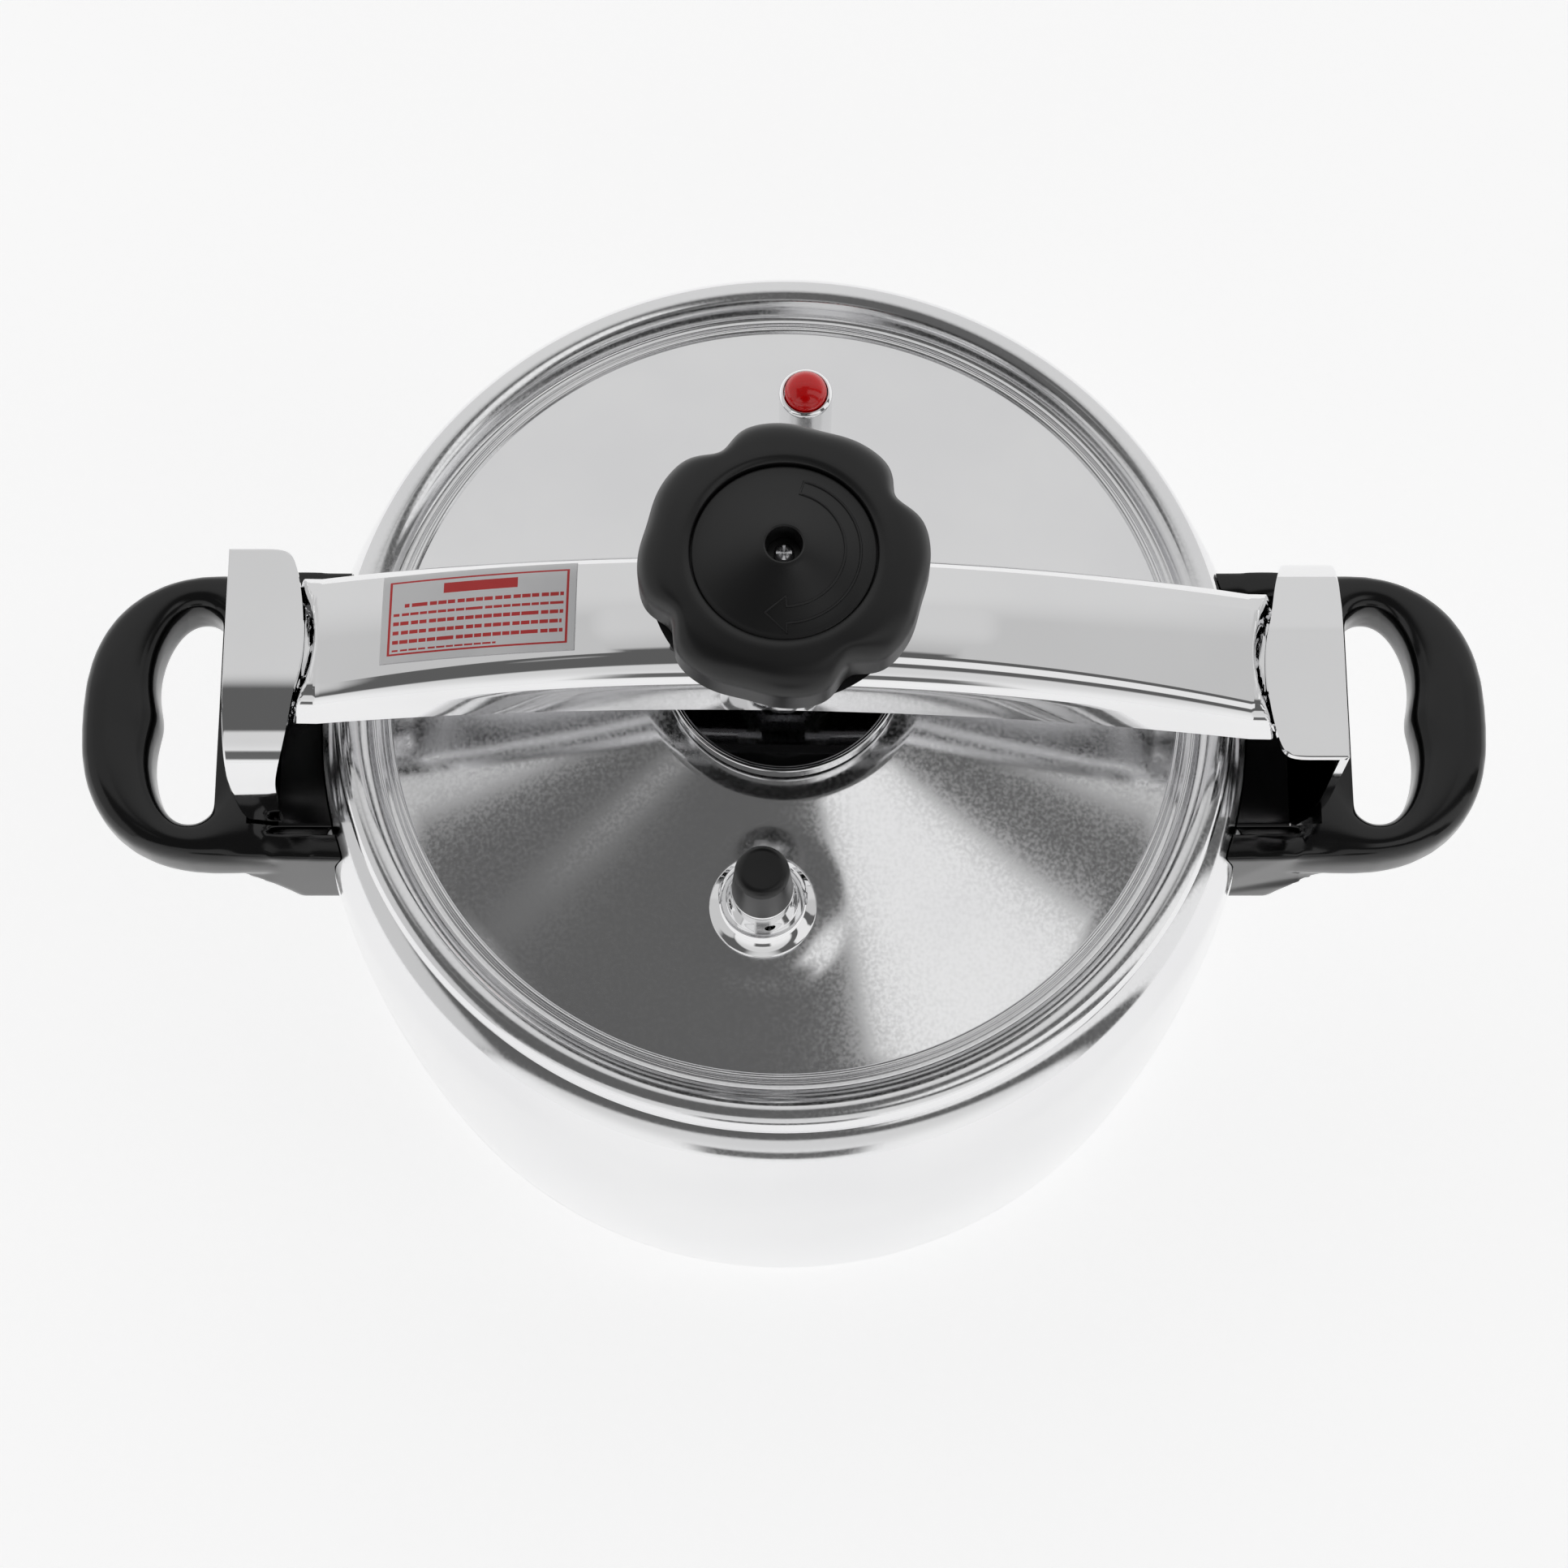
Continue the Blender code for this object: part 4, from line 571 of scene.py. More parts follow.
def beam_point(x, y, z):
    """Drop the end of the beam to its tongue, behind a crescent-shaped step."""
    edge = BEAM_SHOULDER + 4.5 * (y / 19.0) ** 2
    step = smooth_step((abs(x) - edge) / 3.0)
    low = BEAM_END_TOP - BEAM_END_DEPTH
    share = (z - low) / BEAM_END_DEPTH
    tongue = TONGUE_TOP - TONGUE_DEPTH + TONGUE_DEPTH * share
    return (x, y * (1.0 - 0.16 * step), z + (tongue - z) * step)


def make_beam(looks):
    stations = [BEAM_SHOULDER * k / 56.0 for k in range(54)]
    stations += [BEAM_SHOULDER + 0.5 * k for k in range(-4, 18)] + [BEAM_END - 8.0, BEAM_END - 3.0, BEAM_END]
    stations = [-x for x in stations[:0:-1]] + stations
    rows = []
    for x in stations:
        half = beam_half(x)
        section = [(-y, z) for y, z in half[:0:-1]] + half
        rows.append([beam_point(x, y, z) for y, z in section])
    bm = grid_mesh(rows)
    face_up(bm)
    finish_piece(bm, "beam_arch", looks["chrome"], "beam", "chromed_steel", ["beam"], turn=BEAM_YAW,
                 place=(0.0, 0.0, RIM), modifiers=sheet(BEAM_WALL, 0.35))


def beam_surface(x, y):
    """Height of the beam's outer face at a place on it."""
    top, flat, corner, _ = beam_state(x)
    side = abs(y)
    if side < flat:
        return top - BEAM_CROWN * (side / flat) ** 2
    past = min(side - flat, corner * 0.9)
    return top - corner - BEAM_CROWN + math.sqrt(corner ** 2 - past ** 2)


def make_label(looks):
    """Film with a printed frame and bars in place of its words, laid over the beam's shoulder."""
    low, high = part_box("label")
    length = (high.x - low.x) / MM
    width = (high.y - low.y) / MM - length * math.sin(-BEAM_YAW)
    centre_x = (low.x + high.x) / 2.0 / MM
    centre_y = (low.y + high.y) / 2.0 / MM - centre_x * math.tan(BEAM_YAW)
    frame_out = 2.2
    frame_in = 2.7
    bars = [(4.0, 7.0, 0.32, 0.70)]
    lines = [(0.12, 0.96), (0.06, 0.94), (0.06, 0.965), (0.06, 0.93), (0.06, 0.95), (0.06, 0.60)]
    for k, (start, end) in enumerate(lines):
        bars.append((9.2 + 2.75 * k, 10.3 + 2.75 * k, start, end))

    def printed(u, v):
        """Whether a place, measured from the film's back left corner, is inked."""
        from_edge = min(u, length - u, v, width - v)
        if frame_out < from_edge < frame_in:
            return True
        if from_edge < frame_in + 0.8:
            return False
        for top, bottom, start, end in bars:
            if top < v < bottom and start * length < u < end * length:
                return top < 8.0 or (u * 0.37) % 1.0 > 0.16 - 0.05 * math.sin(u + top)
        return False

    across = 160
    down = 96
    rows = []
    for j in range(down + 1):
        v = width * j / down
        row = []
        for i in range(across + 1):
            x = centre_x + length * (i / across - 0.5)
            y = centre_y + width / 2.0 - v
            row.append((x, y, beam_surface(x, y) + 0.22))
        rows.append(row)
    bm = grid_mesh(rows)
    bm.faces.ensure_lookup_table()
    for index, face in enumerate(bm.faces):
        j, i = divmod(index, across)
        face.material_index = int(printed(length * (i + 0.5) / across, width * (j + 0.5) / down))
    face_up(bm)
    thick = ("SOLIDIFY", {"thickness": 0.15 * MM, "offset": -1.0})
    label = finish_piece(bm, "label_sticker", looks["film"], "beam", "label_white", ["label"], turn=BEAM_YAW,
                         place=(0.0, 0.0, RIM), modifiers=[thick])
    label.data.materials.append(looks["ink"])


# ---------------------------------------------------------------- ears

def leg_share(z):
    """How far down the ear's leg a height is, from its bend to its foot."""
    return min(max((EAR_BEND - z) / (EAR_BEND - EAR_FOOT), 0.0), 1.0)


def web_point(y, z):
    """Place on the ear's outer face, which comes in to the pot's wall and takes up its curve."""
    foot = wall_radius(RIM + EAR_FOOT) + 3.0
    share = leg_share(z)
    x = EAR_OUT + (foot - EAR_OUT) * share ** 1.15
    return (x - (x - math.sqrt(x * x - y * y)) * share, y, z)


def make_ear(name, looks, node, turn):
    """Pressed ear: a web with a flange over the beam's tongue, which rolls down over the closed end."""
    top_edge = [(EAR_OPEN, EAR_TOP, 144.5), (EAR_OPEN + 4.0, EAR_TOP, 142.2), (-19.0, EAR_TOP, 140.2),
                (-8.0, EAR_TOP, 139.0), (3.0, EAR_TOP, 139.4), (EAR_ROLL_START, EAR_TOP, 141.4)]
    rolled = []
    for angle, inner in ((20, 142.6), (38, 144.2), (55, 146.0), (72, 147.6), (90, 148.6)):
        turned_by = math.radians(angle)
        y = EAR_ROLL_START + (EAR_CLOSED - EAR_ROLL_START) * math.sin(turned_by)
        z = EAR_ROLL_END + (EAR_TOP - EAR_ROLL_END) * math.cos(turned_by)
        rolled.append((y, z, inner))
    leg = [(EAR_CLOSED + out, z, inner) for out, z, inner in (
        (0.2, -4.0, 149.4), (0.3, EAR_BEND, 151.4), (0.3, -32.0, 151.0),
        (0.2, -46.0, 146.6), (0.0, EAR_FOOT, 140.6), (0.0, EAR_LEG_END, 139.6))]
    path = top_edge + rolled + leg
    bm = bmesh.new()
    columns = len(top_edge)
    across = [(y - EAR_OPEN) / (EAR_ROLL_START - EAR_OPEN) for y, _, _ in top_edge]
    web = []
    for last_y, z, _ in path[columns - 1:]:
        web.append([bm.verts.new(web_point(EAR_OPEN + (last_y - EAR_OPEN) * part, z)) for part in across])
    for upper, lower in zip(web, web[1:]):
        for k in range(columns - 1):
            bm.faces.new((upper[k], upper[k + 1], lower[k + 1], lower[k]))
    border = web[0] + [line[-1] for line in web[1:]]
    strips = [border]
    for share in (0.14, 0.55, 1.0):
        strip = []
        for vertex, (y, z, inner) in zip(border, path):
            outer = vertex.co.x
            strip.append(bm.verts.new((outer + (inner - outer) * share, y, z)))
        strips.append(strip)
    for near, far in zip(strips, strips[1:]):
        for k in range(len(border) - 1):
            bm.faces.new((near[k], near[k + 1], far[k + 1], far[k]))
    bmesh.ops.recalc_face_normals(bm, faces=bm.faces)
    crease = bm.edges.layers.float.new("crease_edge")
    marked = set(border)
    for edge in bm.edges:
        if edge.verts[0] in marked and edge.verts[1] in marked and len(edge.link_faces) == 2:
            edge[crease] = 0.45
    top_face = max(bm.faces, key=lambda face: face.calc_center_median().z)
    if top_face.normal.z < 0.0:
        bmesh.ops.reverse_faces(bm, faces=bm.faces)
    smooth = ("SUBSURF", {"levels": 3, "render_levels": 3})
    finish_piece(bm, name, looks["chrome"], "pot", "chromed_steel", [node], turn=turn, place=(0.0, 0.0, RIM),
                 sharp=60.0, modifiers=[smooth] + sheet(EAR_WALL, 0.4))


def make_rivet(name, node, looks):
    """Round-headed rivet on a radius of the pot."""
    low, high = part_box(node)
    centre = (low + high) / 2.0 / MM
    angle = math.atan2(centre.y, centre.x)
    outer = reach(node)
    inner = min(math.hypot(v.co.x, v.co.y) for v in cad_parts[node].data.vertices) / MM
    head = [(4.5, outer - 2.0)] + arc(0.0, outer - 2.0, 4.5, 2.0, 8, 82, 7)
    profile = rounded([(0.0, inner), (4.0, inner, 0.6), (4.0, inner + 1.2), (2.6, inner + 1.2),
                       (2.6, outer - 2.0)])
    bm = turned_mesh(profile + head + [(0.0, outer)], 32, axis="X")
    finish_piece(bm, name, looks["steel"], "pot", "steel", [node], turn=angle, place=(0.0, 0.0, centre.z))


# ---------------------------------------------------------------- handles

HANDLE_TOP = -22.0
HANDLE_LOW = -44.0
HANDLE_HALF_WIDTH = 46.5
HANDLE_ROUND = 46.0
HANDLE_ARM_X = 154.0
HANDLE_GRIP = 21.0
HOLE_HALF_OUT = 14.0
HOLE_HALF_IN = 13.0
HOLE_HALF_WIDTH = 34.0
ROOT_NEAR = 38.0
ROOT_FAR = 46.3
ROOT_BACK = 126.0
CORE_HALF_WIDTH = 36.0
SLOT_HALF_WIDTH = 35.4


def handle_edge(angle, centre):
    """Distance from the finger hole's middle to the handle's outer outline, in a direction."""
    ray = Vector((math.cos(angle), math.sin(angle)))
    end = HANDLE_OUT - HANDLE_ROUND
    best = 0.0
    for k in range(400):
        distance = 8.0 + k * 0.15
        point = Vector((centre, 0.0)) + ray * distance
        if point.x < HANDLE_ARM_X + 0.5:
            break
        if point.x > end:
            share = ((point.x - end) / HANDLE_ROUND) ** 2.5 + (abs(point.y) / HANDLE_HALF_WIDTH) ** 2.5
            if share > 1.0:
                break
        elif abs(point.y) > HANDLE_HALF_WIDTH:
            break
        best = distance
    return best


def hole_edge(angle):
    """Distance from the finger hole's middle to its outline: straighter at the grip, with a bulge."""
    along = math.cos(angle)
    across = math.sin(angle)
    half = HOLE_HALF_OUT if along > 0.0 else HOLE_HALF_IN
    power = 2.2
    distance = (abs(along / half) ** power + abs(across / HOLE_HALF_WIDTH) ** power) ** (-1.0 / power)
    if along > 0.0:
        distance -= 3.0 * math.exp(-(distance * across / 13.5) ** 2) * along
    return distance


def handle_mesh():
    """Loop of the handle, swept round the finger hole, with two root blocks and a core between them."""
    centre = HANDLE_OUT - HANDLE_GRIP - HOLE_HALF_OUT
    height = (HANDLE_TOP + HANDLE_LOW) / 2.0
    half_height = (HANDLE_TOP - HANDLE_LOW) / 2.0
    turns = 180
    around = 36
    rows = []
    for k in range(turns):
        angle = math.tau * k / turns
        inner = hole_edge(angle)
        outer = handle_edge(angle, centre)
        mid = (inner + outer) / 2.0
        half = (outer - inner) / 2.0
        row = []
        for n in range(around):
            t = math.tau * n / around
            reach_out = mid + half * math.copysign(abs(math.cos(t)) ** (2.0 / 3.0), math.cos(t))
            rise = half_height * math.copysign(abs(math.sin(t)) ** (2.0 / 3.4), math.sin(t))
            row.append((centre + reach_out * math.cos(angle), reach_out * math.sin(angle), height + rise))
        rows.append(row)
    rows.append(rows[0])
    bm = grid_mesh(rows, close=True)
    bmesh.ops.remove_doubles(bm, verts=bm.verts, dist=0.001)
    face_outwards(bm)
    root_view = [(ROOT_BACK, -24.0), (150.0, -22.5), (178.0, -25.0), (178.0, -41.0), (166.0, -44.5),
                 (158.0, -49.0), (153.0, -58.0), (150.5, -64.0), (ROOT_BACK, -64.0)]
    core_view = [(ROOT_BACK, -24.0), (172.0, -24.0), (172.0, -43.0), (ROOT_BACK, -43.0)]
    for near, far, side_view in ((-ROOT_FAR, -ROOT_NEAR, root_view), (ROOT_NEAR, ROOT_FAR, root_view),
                                 (-CORE_HALF_WIDTH, CORE_HALF_WIDTH, core_view)):
        block = slab(side_view, near, far)
        for vertex in block.verts:
            if vertex.co.x > 160.0 and abs(vertex.co.y) > 45.0:
                vertex.co.y = math.copysign(44.5, vertex.co.y)
        face_outwards(block)
        holder = bpy.data.meshes.new("block")
        block.to_mesh(holder)
        block.free()
        bm.from_mesh(holder)
        bpy.data.meshes.remove(holder)
    return bm


def apply_modifiers(piece):
    """Replace a piece's mesh with the evaluated one."""
    bpy.context.view_layer.update()
    evaluated = piece.evaluated_get(bpy.context.evaluated_depsgraph_get())
    mesh = bpy.data.meshes.new_from_object(evaluated)
    piece.modifiers.clear()
    piece.data = mesh


def cut(piece, tools):
    """Take the tools out of a piece, and then remove them."""
    for tool in tools:
        add_modifier(piece, "BOOLEAN", operation="DIFFERENCE", solver="EXACT", object=tool)
    apply_modifiers(piece)
    for tool in tools:
        bpy.data.objects.remove(tool)


def pot_cutter():
    """The pot's outside with a small clearance, for cutting what is fitted to its wall."""
    profile = [(0.0, -100.0), (POT_RADIUS + 0.2, -100.0)]
    for drop in range(80, 36, -4):
        profile.append((wall_radius(RIM - drop) + 0.4, -float(drop)))
    profile += arc(NECK_RADIUS, -SHOULDER_DROP, POT_RADIUS - SHOULDER_INSET - NECK_RADIUS + 0.4,
                   SHOULDER_DROP - LEDGE_DROP + 0.4, 0, 90, 8)
    profile += [(NECK_RADIUS + 0.4, 5.0), (0.0, 5.0)]
    return placed("pot_cutter", turned_mesh(profile, 128), (0.0, 0.0, RIM))


def leg_cutter(turn):
    """Slot for the ear's leg in the handle's root."""
    foot = wall_radius(RIM + EAR_FOOT) + 3.8
    side_view = [(EAR_OUT + 0.8, 0.0), (EAR_OUT + 0.8, -18.5), (foot, -62.0), (foot, -80.0),
                 (foot - 9.0, -80.0), (foot - 9.0, -62.0), (EAR_OUT - 8.0, -18.5), (EAR_OUT - 8.0, 0.0)]
    bm = slab(side_view, -SLOT_HALF_WIDTH, SLOT_HALF_WIDTH)
    face_outwards(bm)
    return placed("leg_cutter", bm, (0.0, 0.0, RIM), turn)


def make_handle(name, looks, node, turn):
    piece = placed(name, handle_mesh(), (0.0, 0.0, RIM), turn)
    add_modifier(piece, "REMESH", mode="VOXEL", voxel_size=1.0 * MM)
    add_modifier(piece, "SMOOTH", factor=0.5, iterations=10)
    apply_modifiers(piece)
    cut(piece, [pot_cutter(), leg_cutter(turn)])
    piece.data.shade_smooth()
    piece.data.set_sharp_from_angle(angle=math.radians(50.0))
    piece.data.materials.clear()
    piece.data.materials.append(looks["gloss_black"])
    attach(piece, "pot")
    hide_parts(node)


def make_cap_nut(name, node, looks):
    """Domed hexagon nut on a handle's stud."""
    low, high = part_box(node)
    centre = (low + high) / 2.0 / MM
    length = (high.x - low.x) / MM
    out = 1.0 if centre.x > 0.0 else -1.0
    radius = (high.z - low.z) / 2.0 / MM

    def hexagon(reach_out, height, angle):
        if height < length * 0.45 and reach_out > radius * 0.9:
            from_flat = (angle % math.radians(60.0)) - math.radians(30.0)
            return min(radius * 0.9 / math.cos(from_flat), radius)
        return reach_out

    profile = rounded([(2.8, 0.0), (radius, 0.0, 0.3), (radius, length * 0.42, 0.3),
                       (radius * 0.86, length * 0.5)])
    profile += arc(0.0, length * 0.5, radius * 0.86, length * 0.5, 12, 84, 7)
    profile += [(0.0, length), (0.0, length - 1.6), (2.8, length - 1.6)]
    bm = turned_mesh(profile, 48, hexagon, axis="X")
    turn = 0.0 if out > 0.0 else math.pi
    start = low.x / MM if out > 0.0 else high.x / MM
    finish_piece(bm, name, looks["chrome"], "pot", "chromed_steel", [node], turn=turn,
                 place=(start, centre.y, centre.z))


# ---------------------------------------------------------------- knob and spindle

KNOB_RADIUS = 39.75
KNOB_HEIGHT = 18.5
KNOB_TURN = math.radians(29.7)
DISC_RADIUS = 24.9
DISC_RECESS = 4.5
DISC_FLOOR = KNOB_TOP - DISC_RECESS + 0.3
NOTCH_ROOT = 28.0


def knob_dent(angle):
    """How far the outline is drawn in at the four finger notches, with slight flats between them."""
    pitch = math.tau / 4
    from_notch = (angle + pitch / 2.0) % pitch - pitch / 2.0
    from_flat = angle % pitch - pitch / 2.0
    notch = 4.6 * math.exp(-(from_notch / math.radians(9.5)) ** 2)
    return notch + 1.3 * math.exp(-(from_flat / math.radians(12.0)) ** 2)


def make_knob(looks):
    bottom = KNOB_TOP - KNOB_HEIGHT
    boss = bottom - 22.5
    lip = DISC_RADIUS + 0.4

    def outline(radius, height, angle):
        if radius < NOTCH_ROOT or height < bottom:
            return radius
        share = min((radius - NOTCH_ROOT) / (KNOB_RADIUS - NOTCH_ROOT), 1.0)
        return radius - knob_dent(angle) * share ** 1.5

    profile = rounded([(6.3, boss), (16.0, boss, 0.8), (16.6, bottom - 2.5), (33.5, bottom - 2.5, 0.6),
                       (34.5, bottom - 0.5), (KNOB_RADIUS - 2.6, bottom, 0.6),
                       (KNOB_RADIUS, bottom + 2.6)], closed=False)
    profile += arc(KNOB_RADIUS - 9.0, KNOB_TOP - 8.0, 9.0, 7.6, 0, 84, 14)
    profile += rounded([(lip + 3.6, KNOB_TOP - 0.05), (lip + 1.6, KNOB_TOP, 0.8), (lip, KNOB_TOP - 0.9, 0.6),
                        (lip, KNOB_TOP - DISC_RECESS), (2.0, KNOB_TOP - DISC_RECESS),
                        (2.0, boss + 28.0), (6.3, boss + 28.0)])
    turned("knob_grip", profile, looks["satin_black"], "spindle", "knob_black", ["knob"], sides=240,
           radius_at=outline, turn=KNOB_TURN, place=(0.0, 0.0, RIM))


def disc_height(radius):
    """Top of the knob's disc: a flat edge and a shallow cone with a soft crown."""
    share = min(max((DISC_RADIUS - 1.0 - radius) / (DISC_RADIUS - 7.0), 0.0), 1.0)
    return DISC_FLOOR + 2.2 + 6.0 * share ** 1.15


def make_knob_disc(looks):
    profile = [(5.2, DISC_FLOOR), (DISC_RADIUS, DISC_FLOOR), (DISC_RADIUS, DISC_FLOOR + 2.0)]
    steps = 26
    for k in range(steps + 1):
        radius = DISC_RADIUS - 0.4 + (5.6 - DISC_RADIUS + 0.4) * k / steps
        profile.append((radius, disc_height(radius)))
    profile += [(5.1, disc_height(5.6) - 0.3), (4.6, DISC_FLOOR + 1.6)]
    turned("knob_badge", profile, looks["satin_black"], "spindle", "handle_black", ["knob_disc"], sides=160,
           place=(0.0, 0.0, RIM))
    make_arrow(looks)
    make_knob_screw(looks)


def make_arrow(looks):
    """Raised outline of a curved arrow that shows the way to tighten."""
    start = math.radians(75.0)
    end = math.radians(-88.0)
    tip = math.radians(-106.0)
    inner = 0.66 * DISC_RADIUS
    outer = 0.83 * DISC_RADIUS
    centre = (inner + outer) / 2.0
    path = []
    steps = 40
    for k in range(steps + 1):
        path.append((outer, start + (end - start) * k / steps))
    path += [(outer + 2.6, end), (centre, tip), (inner - 2.6, end)]
    for k in range(steps + 1):
        path.append((inner, end + (start - end) * k / steps))
    curve = bpy.data.curves.new("knob_arrow", "CURVE")
    curve.dimensions = "3D"
    curve.bevel_depth = 0.38 * MM
    curve.bevel_resolution = 2
    spline = curve.splines.new("POLY")
    spline.points.add(len(path) - 1)
    for point, (radius, angle) in zip(spline.points, path):
        height = RIM + disc_height(radius) + 0.02
        point.co = (radius * math.cos(angle) * MM, radius * math.sin(angle) * MM, height * MM, 1.0)
    spline.use_cyclic_u = True
    arrow = bpy.data.objects.new("knob_arrow", curve)
    curve.materials.append(looks["satin_black"])
    bpy.context.collection.objects.link(arrow)
    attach(arrow, "spindle")


def make_knob_screw(looks):
    """Cross-head screw in the middle of the knob."""
    foot, top = span("knob_screw")
    floor = DISC_FLOOR
    profile = rounded([(0.0, foot), (1.6, foot + 0.4, 0.3), (1.6, floor), (2.8, floor, 0.2),
                       (2.8, floor + 1.2)], closed=False)
    profile += arc(0.0, floor + 1.2, 2.5, top - floor - 1.2, 20, 80, 5) + [(0.0, top)]
    bm = turned_mesh(profile, 64)
    for vertex in bm.verts:
        x, y, z = vertex.co
        if z > floor + 1.3:
            arm = min(abs(x), abs(y))
            length = max(abs(x), abs(y))
            if arm < 0.42 and length < 1.9:
                vertex.co.z -= 0.8 * (1.0 - length / 2.4)
    finish_piece(bm, "knob_cross_screw", looks["steel"], "spindle", "steel", ["knob_screw"],
                 place=(0.0, 0.0, RIM))


def make_spindle(looks):
    """Clamping screw with its thread cut as a real helix, and its collar in the hub."""
    foot, top = span("spindle_screw")
    crest = 6.0
    pitch = 3.0
    depth = 0.9
    thread_foot = foot + 8.0
    profile = [(0.0, foot), (8.5, foot), (8.5, foot + 1.1), (5.2, foot + 1.2), (5.2, thread_foot - 1.0)]
    count = int((top - thread_foot) / pitch * 8)
    for k in range(count + 1):
        profile.append((crest, thread_foot + (top - 0.5 - thread_foot) * k / count))
    profile += [(3.0, top), (0.0, top)]

    def thread(radius, height, angle):
        if radius != crest:
            return radius
        phase = (height / pitch - angle / math.tau) % 1.0
        return crest - depth * (0.5 - 0.5 * math.cos(math.tau * phase)) ** 0.8

    turned("spindle_thread", profile, looks["steel"], "spindle", "steel", ["spindle_screw"], sides=48,
           radius_at=thread, place=(0.0, 0.0, RIM))


def make_round(name, node, corners, looks, look, body, slot, sides=72):
    """Replace a plain round CAD node with a finer turned one that has rounded edges."""
    x, y = middle(node)
    turned(name, rounded(corners), looks[look], body, slot, [node], sides=sides, place=(x, y, RIM))


def make_bush(looks):
    foot, top = span("beam_bush")
    flange = top - 3.7
    make_round("bush_flange", "beam_bush",
               [(6.3, foot), (9.0, foot, 0.5), (9.0, flange), (16.0, flange, 0.4), (16.0, top, 0.8),
                (6.3, top, 0.8)],
               looks, "chrome", "beam", "steel")
    foot, top = span("knob_washer")
    make_round("knob_washer_ring", "knob_washer",
               [(6.3, foot), (14.0, foot, 0.3), (14.0, top, 0.3), (6.3, top)],
               looks, "steel", "spindle", "steel")


# ---------------------------------------------------------------- valves

def make_weight(looks):
    foot, top = span("weight_bell")
    bell = rounded([
        (2.3, top), (2.3, top - 5.7), (6.2, top - 5.7), (6.2, foot + 8.0, 2.0), (13.0, foot, 0.3),
        (15.4, foot, 0.4), (15.4, foot + 0.9, 0.5), (12.6, foot + 2.3, 2.0), (10.3, foot + 5.6, 2.2),
        (9.3, foot + 11.0, 2.0), (8.7, top - 0.8, 0.5), (8.2, top, 0.4)], 7)
    x, y = middle("weight_bell")
    body = turned("weight_skirt", bell, looks["chrome"], "weight", "chromed_steel", ["weight_bell"], sides=96,
                  place=(x, y, RIM))
    tools = []
    for k in range(4):
        bm = turned_mesh([(0.0, 3.0), (1.6, 3.0), (1.6, 15.0), (0.0, 15.0)], 20, axis="X")
        angle = LID_YAW + math.radians(18.0) + math.tau * k / 4
        tools.append(placed("hole_cutter", bm, (x, y, RIM + 26.5), angle))
    body.modifiers.remove(body.modifiers["normals"])
    cut(body, tools)
    body.data.set_sharp_from_angle(angle=math.radians(38.0))
    foot, top = span("weight_cap")
    make_round("weight_grip", "weight_cap",
               [(2.3, foot), (8.6, foot, 0.4), (8.7, foot + 1.0, 0.4), (7.7, top - 1.6, 1.0), (6.4, top, 1.2),
                (3.0, top), (0.0, top), (0.0, foot + 10.0), (2.3, foot + 10.0)],
               looks, "satin_black", "weight", "knob_black", 96)


def make_indicator(looks):
    foot, top = span("indicator_housing")
    x, y = middle("indicator_housing")
    seat = cone_height(math.hypot(x, y) - 7.85) + 0.3
    make_round("indicator_tower", "indicator_housing",
               [(2.3, foot), (6.0, foot, 0.4), (6.0, seat), (7.85, seat, 0.3), (7.85, top - 1.1, 0.5),
                (6.9, top, 0.3), (6.5, top, 0.2), (6.5, top - 16.0), (2.3, top - 16.0)],
               looks, "chrome", "lid", "chromed_steel", 96)
    foot, crown = span("indicator_button")
    profile = [(0.0, foot), (6.0, foot), (6.2, foot + 0.4), (6.2, top)]
    profile += arc(0.0, top, 6.2, crown - top, 6, 84, 12) + [(0.0, crown)]
    turned("indicator_dome", profile, looks["red"], "indicator", "indicator_red", ["indicator_button"],
           sides=72, place=(x, y, RIM))


# ---------------------------------------------------------------- carried-over nodes

CARRIED = {
    "steel": ["hub_nut", "vent_pipe", "vent_nut", "vent_strainer", "weight_needle", "indicator_nut",
              "indicator_pin", "beam_nut", "handle_stud_left_front", "handle_stud_left_back",
              "handle_stud_right_front", "handle_stud_right_back"],
    "rubber": ["sealing_ring", "indicator_seal"],
}


def dress_carried_nodes(looks):
    for look, names in CARRIED.items():
        for name in names:
            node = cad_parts[name]
            node.data.materials.clear()
            node.data.materials.append(looks[look])


# ---------------------------------------------------------------- studio

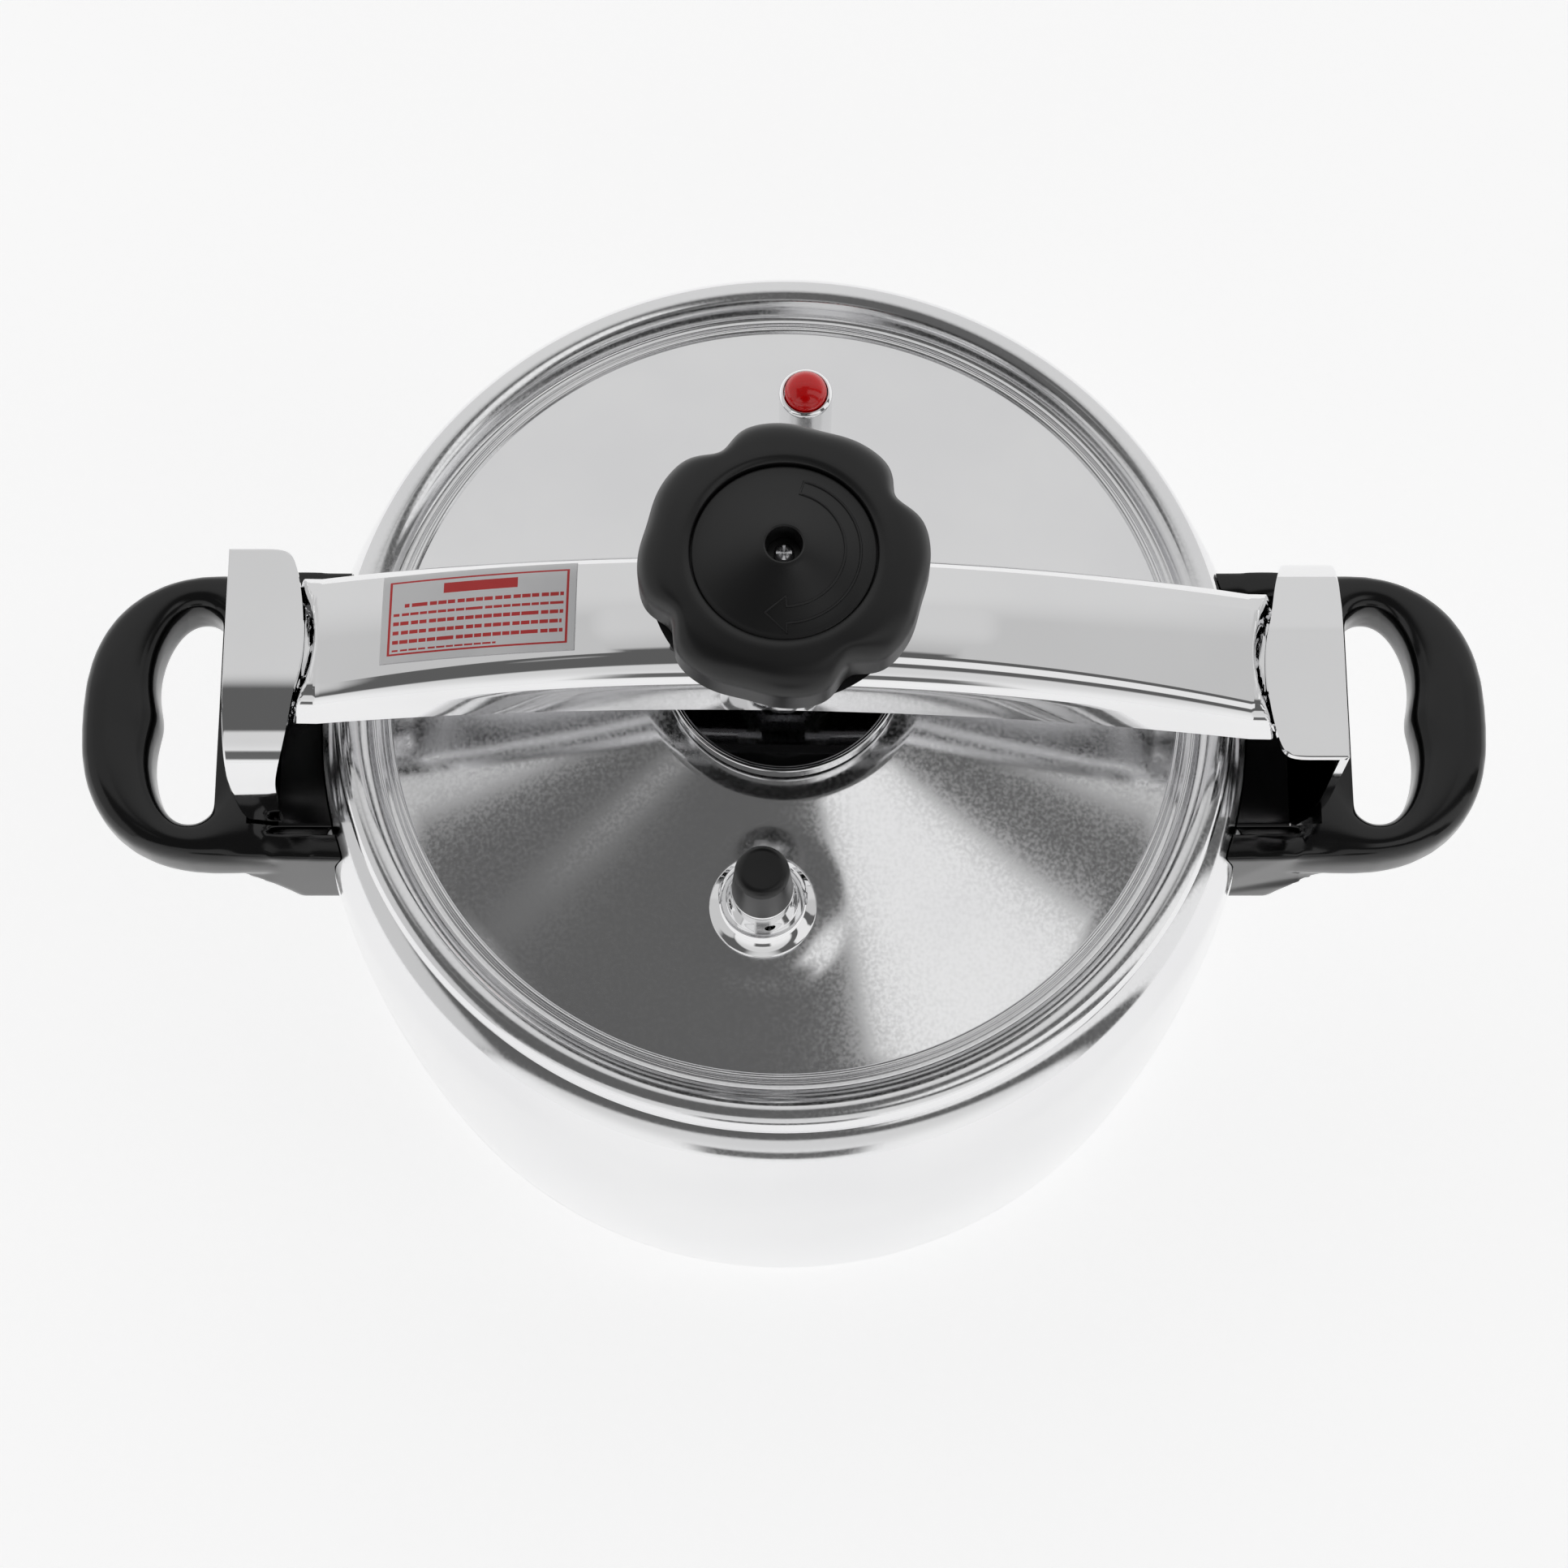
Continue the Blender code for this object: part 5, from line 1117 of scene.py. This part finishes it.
def make_world():
    """Studio as a sky: soft boxes round a dark middle, where the camera and its stand are."""
    world = bpy.data.worlds.new("studio")
    bpy.context.scene.world = world
    world.use_nodes = True
    graph = Graph(world.node_tree)
    direction = graph.node("ShaderNodeTexCoord").outputs["Generated"]
    parts = graph.node("ShaderNodeSeparateXYZ", {0: direction})
    x, y, z = parts.outputs[0], parts.outputs[1], parts.outputs[2]

    def window(value, low, high, soft):
        rise = graph.ramp(value, low - soft, low + soft)
        fall = graph.ramp(value, high - soft, high + soft, 1.0, 0.0)
        return graph.math("MULTIPLY", rise, fall)

    def box(x_low, x_high, y_low, y_high, soft, power):
        area = graph.math("MULTIPLY", window(x, x_low, x_high, soft), window(y, y_low, y_high, soft))
        return graph.math("MULTIPLY", area, power)

    back = graph.ramp(y, 0.16, 0.42, 0.0, 0.70)
    right = box(0.15, 2.0, -0.42, -0.07, 0.025, 0.86)
    left = box(-2.0, -0.72, -0.62, 2.0, 0.05, 0.62)
    spot = box(-0.50, -0.34, -0.12, -0.02, 0.05, 0.34)
    beside = graph.ramp(graph.math("ABSOLUTE", x), 0.28, 0.34)
    sides = graph.math("MULTIPLY", beside, graph.ramp(y, 0.08, 0.13, 0.0, 0.58))
    ahead = graph.ramp(y, -0.66, -0.56, 1.0, 0.0)
    front = graph.math("MULTIPLY", ahead, graph.ramp(z, 0.10, 0.60, 0.92, 0.70))
    over = box(-0.42, 0.46, 0.22, 0.46, 0.10, 0.66)
    light = 0.115
    for patch in (back, right, left, spot, sides, front, over):
        light = graph.math("MAXIMUM", light, patch)
    stand = graph.math("MULTIPLY", window(x, -0.24, 0.22, 0.05), window(z, 0.08, 0.34, 0.04))
    stand = graph.math("MULTIPLY", stand, graph.ramp(y, -0.6, -0.5, 1.0, 0.0))
    light = graph.math("MULTIPLY", light, graph.math("SUBTRACT", 1.0, graph.math("MULTIPLY", stand, 0.85)))
    low = graph.ramp(z, -0.02, 0.02, 0.72, 0.0)
    light = graph.math("MAXIMUM", light, low)
    shader = graph.node("ShaderNodeBackground", {"Strength": light, "Color": (1.0, 1.0, 1.0, 1.0)})
    output = graph.node("ShaderNodeOutputWorld")
    graph.tree.links.new(shader.outputs[0], output.inputs["Surface"])


def make_floor():
    """Plain pale table that glows slightly, so that no hard shadow shows."""
    bm = bmesh.new()
    bmesh.ops.create_grid(bm, x_segments=8, y_segments=8, size=6.0)
    mesh = bpy.data.meshes.new("floor")
    bm.to_mesh(mesh)
    bm.free()
    floor = bpy.data.objects.new("floor", mesh)
    floor.location = (0.0, 0.0, -0.0003)
    bpy.context.collection.objects.link(floor)
    made, graph, shader = shaded("floor_paper")
    place = graph.node("ShaderNodeTexCoord").outputs["Object"]
    speck = graph.ramp(graph.noise(place, 300.0, 2.0), 0.3, 0.7)
    graph.put(shader.inputs["Base Color"], graph.mix(speck, (0.60, 0.60, 0.60, 1.0), (0.59, 0.59, 0.59, 1.0)))
    shader.inputs["Roughness"].default_value = 0.9
    shader.inputs["Specular IOR Level"].default_value = 0.0
    shader.inputs["Emission Color"].default_value = (1.0, 1.0, 1.0, 1.0)
    shader.inputs["Emission Strength"].default_value = 0.64
    mesh.materials.append(made)


def make_camera():
    scene = bpy.context.scene
    data = bpy.data.cameras.new("camera")
    data.sensor_width = 36.0
    data.lens = CAMERA_LENS
    camera = bpy.data.objects.new("camera", data)
    scene.collection.objects.link(camera)
    out = Vector((0.0, -math.cos(CAMERA_ELEVATION), math.sin(CAMERA_ELEVATION)))
    camera.location = Vector((0.0, 0.0, RIM * MM)) + out * CAMERA_DISTANCE
    camera.rotation_euler = (math.radians(90.0) - CAMERA_ELEVATION - CAMERA_TILT, 0.0, 0.0)
    scene.camera = camera
    scene.view_settings.view_transform = "Standard"


def main():
    looks = make_materials()
    make_camera()
    make_world()
    make_floor()
    make_pot(looks)
    make_lid(looks)
    make_hub(looks)
    make_beam(looks)
    make_label(looks)
    make_bush(looks)
    make_spindle(looks)
    make_knob(looks)
    make_knob_disc(looks)
    make_weight(looks)
    make_indicator(looks)
    for side, turn in (("right", 0.0), ("left", math.pi)):
        make_ear(f"ear_pressing_{side}", looks, f"ear_{side}", turn)
        make_handle(f"handle_grip_{side}", looks, f"handle_{side}", turn)
        for number in (1, 2, 3):
            make_rivet(f"rivet_{side}_{number}", f"ear_rivet_{side}_{number}", looks)
        for end in ("front", "back"):
            make_cap_nut(f"cap_nut_{side}_{end}", f"handle_nut_{side}_{end}", looks)
    dress_carried_nodes(looks)


main()
